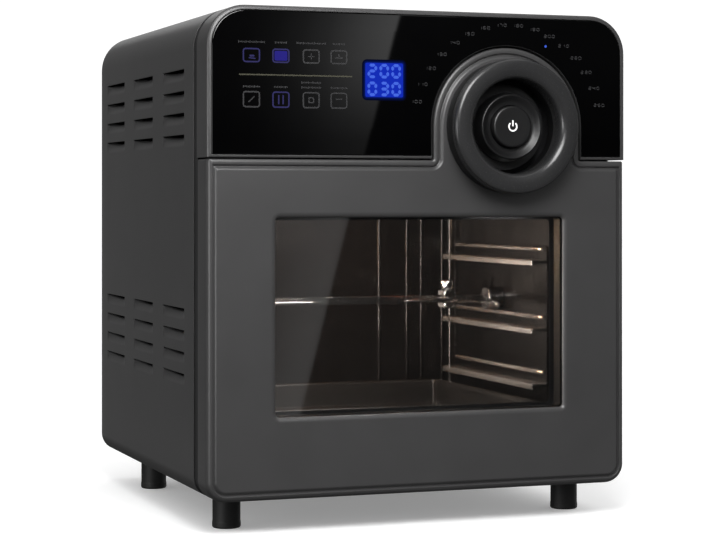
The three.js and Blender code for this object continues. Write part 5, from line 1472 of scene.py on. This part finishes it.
# Camera, light and the studio's cards, placed in metres of the frame
CAMERA_PLACE = (-0.53856, -1.50038, 0.23508)
CAMERA_TURN = 19.94
CAMERA_LENS = 102.36
CAMERA_SENSOR = 36.0
CAMERA_SHIFT = -0.1023
CAMERA_CLIP = (0.05, 30.0)
WHITE = (1.0, 1.0, 1.0)
FLOOR_HALF = 9.0
FLOOR_GLOW = 0.24
WORLD_HORIZON = (-0.18, -0.035)
WORLD_LIGHT = 1.12
WORLD_BELOW = 0.33
WORLD_REFLECTION = 0.17
CARD_Y = -1.553
CARD_SPAN = (-3.0, 4.0, -0.6, 3.0)
CARD_EDGE_SLANT = 0.259
CARD_EDGE_SHIFT = 0.3932
CARD_EDGE_SPAN = (-0.05, 0.45)
CARD_FADE = [(0.096, 0.006), (0.104, 0.27), (0.2, 0.19), (0.3, 0.09), (0.38, 0.045), (0.46, 0.02),
             (0.55, 0.008), (0.8, 0.003)]
CARD_RISE = [(0.0, 0.36), (0.2, 0.36), (0.29, 0.13), (0.317, 0.163), (0.345, 0.283), (0.374, 0.435),
             (0.433, 0.87), (0.476, 1.0)]
CARD_POWER = 4.6
REAR_PLANE = 0.36
OVER_FLOOR = 0.002


def make_camera():
    lens = bpy.data.cameras.new("view")
    lens.sensor_fit = "HORIZONTAL"
    lens.sensor_width = CAMERA_SENSOR
    lens.lens = CAMERA_LENS
    lens.shift_y = CAMERA_SHIFT
    lens.clip_start, lens.clip_end = CAMERA_CLIP
    camera = bpy.data.objects.new("view", lens)
    camera.location = CAMERA_PLACE
    camera.rotation_euler = (math.pi / 2, 0.0, -math.radians(CAMERA_TURN))
    bpy.context.scene.collection.objects.link(camera)
    bpy.context.scene.camera = camera


def stage_sheet(name, corners, material):
    mesh = bpy.data.meshes.new(name)
    mesh.from_pydata(corners, [], [tuple(range(len(corners)))])
    made = bpy.data.objects.new(name, mesh)
    made.data.materials.append(material)
    bpy.context.scene.collection.objects.link(made)
    return made


def area_light(name, place, target, size, power, colour=WHITE, size_y=None, glossy=True):
    lamp = bpy.data.lights.new(name, "AREA")
    lamp.shape = "RECTANGLE"
    lamp.size = size
    lamp.size_y = size_y or size
    lamp.energy = power
    lamp.color = colour
    made = bpy.data.objects.new(name, lamp)
    made.location = place
    made.rotation_euler = (Vector(target) - Vector(place)).to_track_quat("-Z", "Y").to_euler()
    made.visible_camera = False
    made.visible_glossy = glossy
    bpy.context.scene.collection.objects.link(made)


def make_world():
    """White above and dim below, and dimmer still where glossy surfaces mirror it."""
    world = bpy.data.worlds.new("studio")
    world.use_nodes = True
    tree = world.node_tree
    back = tree.nodes["Background"]
    back.inputs["Color"].default_value = (*WHITE, 1.0)
    low, high = WORLD_HORIZON
    place = add_node(tree, "TexCoord")
    split = add_node(tree, "SeparateXYZ")
    height = add_node(tree, "MapRange", {"From Min": low, "From Max": high, "To Min": WORLD_BELOW,
                                         "To Max": WORLD_LIGHT})
    path = add_node(tree, "LightPath")
    mirrored = add_node(tree, "MapRange", {"To Min": 1.0, "To Max": WORLD_REFLECTION})
    level = add_node(tree, "Math", operation="MULTIPLY")
    wire(tree, (place, "Generated", split, "Vector"), (split, "Z", height, "Value"),
         (path, "Is Glossy Ray", mirrored, "Value"), (height, "Result", level, 0),
         (mirrored, "Result", level, 1), (level, "Value", back, "Strength"))
    bpy.context.scene.world = world


def reflection_card(name, corners, strength):
    """A lit panel that only glossy surfaces see."""
    material = bpy.data.materials.new(name)
    material.use_nodes = True
    tree = material.node_tree
    tree.nodes.clear()
    glow = add_node(tree, "Emission", {"Strength": strength})
    out = add_node(tree, "OutputMaterial")
    wire(tree, (glow, "Emission", out, "Surface"))
    card = stage_sheet(name, corners, material)
    for kind in ("camera", "diffuse", "transmission", "shadow"):
        setattr(card, f"visible_{kind}", False)
    return tree, glow


def upright(first, second, bottom, top):
    """The corners of an upright card over the line between two places on the floor."""
    return [(*first, bottom), (*second, bottom), (*second, top), (*first, top)]


def level_card(left, right, front, back, height):
    return [(x, y, height) for x, y in rectangle(left, right, front, back)]


def make_front_card():
    """A dark panel before the oven with one soft bright edge, slanted as the window of a studio."""
    left, right, bottom, top = CARD_SPAN
    tree, glow = reflection_card("front_card", upright((left, CARD_Y), (right, CARD_Y), bottom, top), 1.0)
    start, end = CARD_EDGE_SPAN
    place = add_node(tree, "TexCoord")
    along = add_node(tree, "VectorMath", {1: (-1.0, 0.0, CARD_EDGE_SLANT)}, operation="DOT_PRODUCT")
    shift = add_node(tree, "MapRange", {"From Min": start - CARD_EDGE_SHIFT,
                                        "From Max": end - CARD_EDGE_SHIFT})
    fade = add_node(tree, "ValToRGB")
    set_stops(fade, [(position, grey(value)) for position, value in CARD_FADE])
    split = add_node(tree, "SeparateXYZ")
    rise = add_node(tree, "ValToRGB")
    set_stops(rise, [(position, grey(value)) for position, value in CARD_RISE])
    power = add_node(tree, "Math", {1: CARD_POWER}, operation="MULTIPLY")
    wire(tree, (place, "Object", along, 0), (along, "Value", shift, "Value"),
         (shift, "Result", fade, "Fac"), (fade, "Color", glow, "Color"),
         (place, "Object", split, "Vector"), (split, "Z", rise, "Fac"),
         (rise, "Color", power, 0), (power, "Value", glow, "Strength"))


def make_cards():
    make_front_card()
    high = [(-1.3, -1.0, 1.1), (-0.5, -1.2, 1.1), (-0.5, -0.7, 1.6), (-1.3, -0.5, 1.6)]
    for name, corners, strength in (
        ("left_card", upright((-1.5, -1.15), (-1.5, -0.45), 0.0, 0.5), 8.0),
        ("top_card", level_card(-0.9, 0.9, -0.9, 0.6, 1.7), 0.9),
        ("high_card", high, 6.0),
        ("right_card", upright((1.4, 0.35), (1.4, 1.1), 0.0, 0.5), 4.0),
        ("rear_card", upright((-0.7, 2.2), (1.2, 2.2), 1.0, 1.7), 1.3),
        ("floor_card", level_card(-0.5, 0.5, -0.6, -0.22, OVER_FLOOR), 0.15),
        ("floor_side_card", level_card(-1.2, -0.2, -0.1, 1.4, OVER_FLOOR), 0.16),
        ("rear_side_card", upright((-0.26, REAR_PLANE), (-0.17, REAR_PLANE), 0.0, 0.7), 0.16),
        ("rear_side_shade", upright((-0.9, REAR_PLANE), (-0.26, REAR_PLANE), 0.0, 0.7), 0.1),
    ):
        reflection_card(name, corners, strength)


def make_stage():
    bpy.context.scene.view_settings.view_transform = "Standard"
    make_world()
    paint = finish("floor_paint", grey(0.90), grey(0.92), 0.6, 0.05, 60.0, 0.0, glow=(*WHITE, FLOOR_GLOW))
    ground = stage_sheet("floor", level_card(-FLOOR_HALF, FLOOR_HALF, -FLOOR_HALF, FLOOR_HALF, 0.0), paint)
    ground.visible_diffuse = False
    ground.visible_glossy = False
    make_cards()
    area_light("face_wash", (-0.17, -0.62, 0.58), (-0.1, -0.17, 0.27), 0.33, 5.2)


def chamber_light(name, place, target, size, power, colour, **more):
    """A light within the chamber, its place and target in the shell's millimetres."""
    area_light(name, to_frame(place), to_frame(target), size, power, colour, **more)


def make_chamber_lights():
    """The lamp behind its lens, the heater's warmth, and studio light that falls in through the window."""
    chamber_light("lamp_light", (LAMP_X, 247.0, LAMP_Z), (40.0, 100.0, 90.0), 0.034, 0.55, (1.0, 0.68, 0.42))
    chamber_light("heater_light", (0.0, FAN_Y, 211.0), (0.0, FAN_Y, 60.0), 0.15, 0.5, (1.0, 0.4, 0.14),
                  glossy=False)
    chamber_light("window_light", (-10.0, 34.0, 207.0), (20.0, 170.0, 100.0), 0.2, 0.6, (1.0, 0.97, 0.93),
                  size_y=0.012)
    chamber_light("side_light", (-96.0, 44.0, 123.0), (4.0, 217.0, 107.0), 0.02, 1.55, (1.0, 0.92, 0.84),
                  size_y=0.094)


for make in (
    make_camera, make_materials, make_outer_cover, make_front_flange, make_control_housing,
    make_control_glass, make_display, make_icons, make_labels, make_door_panel, make_door_flanges,
    make_door_liner, make_screws, make_ring_handle, make_dial, make_feet, make_rear_cover, make_chamber,
    make_rails, make_tray, make_spit, make_heating_element, make_element_guard, make_seal, make_lamp_lens,
    dress_nodes, make_stage, make_chamber_lights,
):
    make()
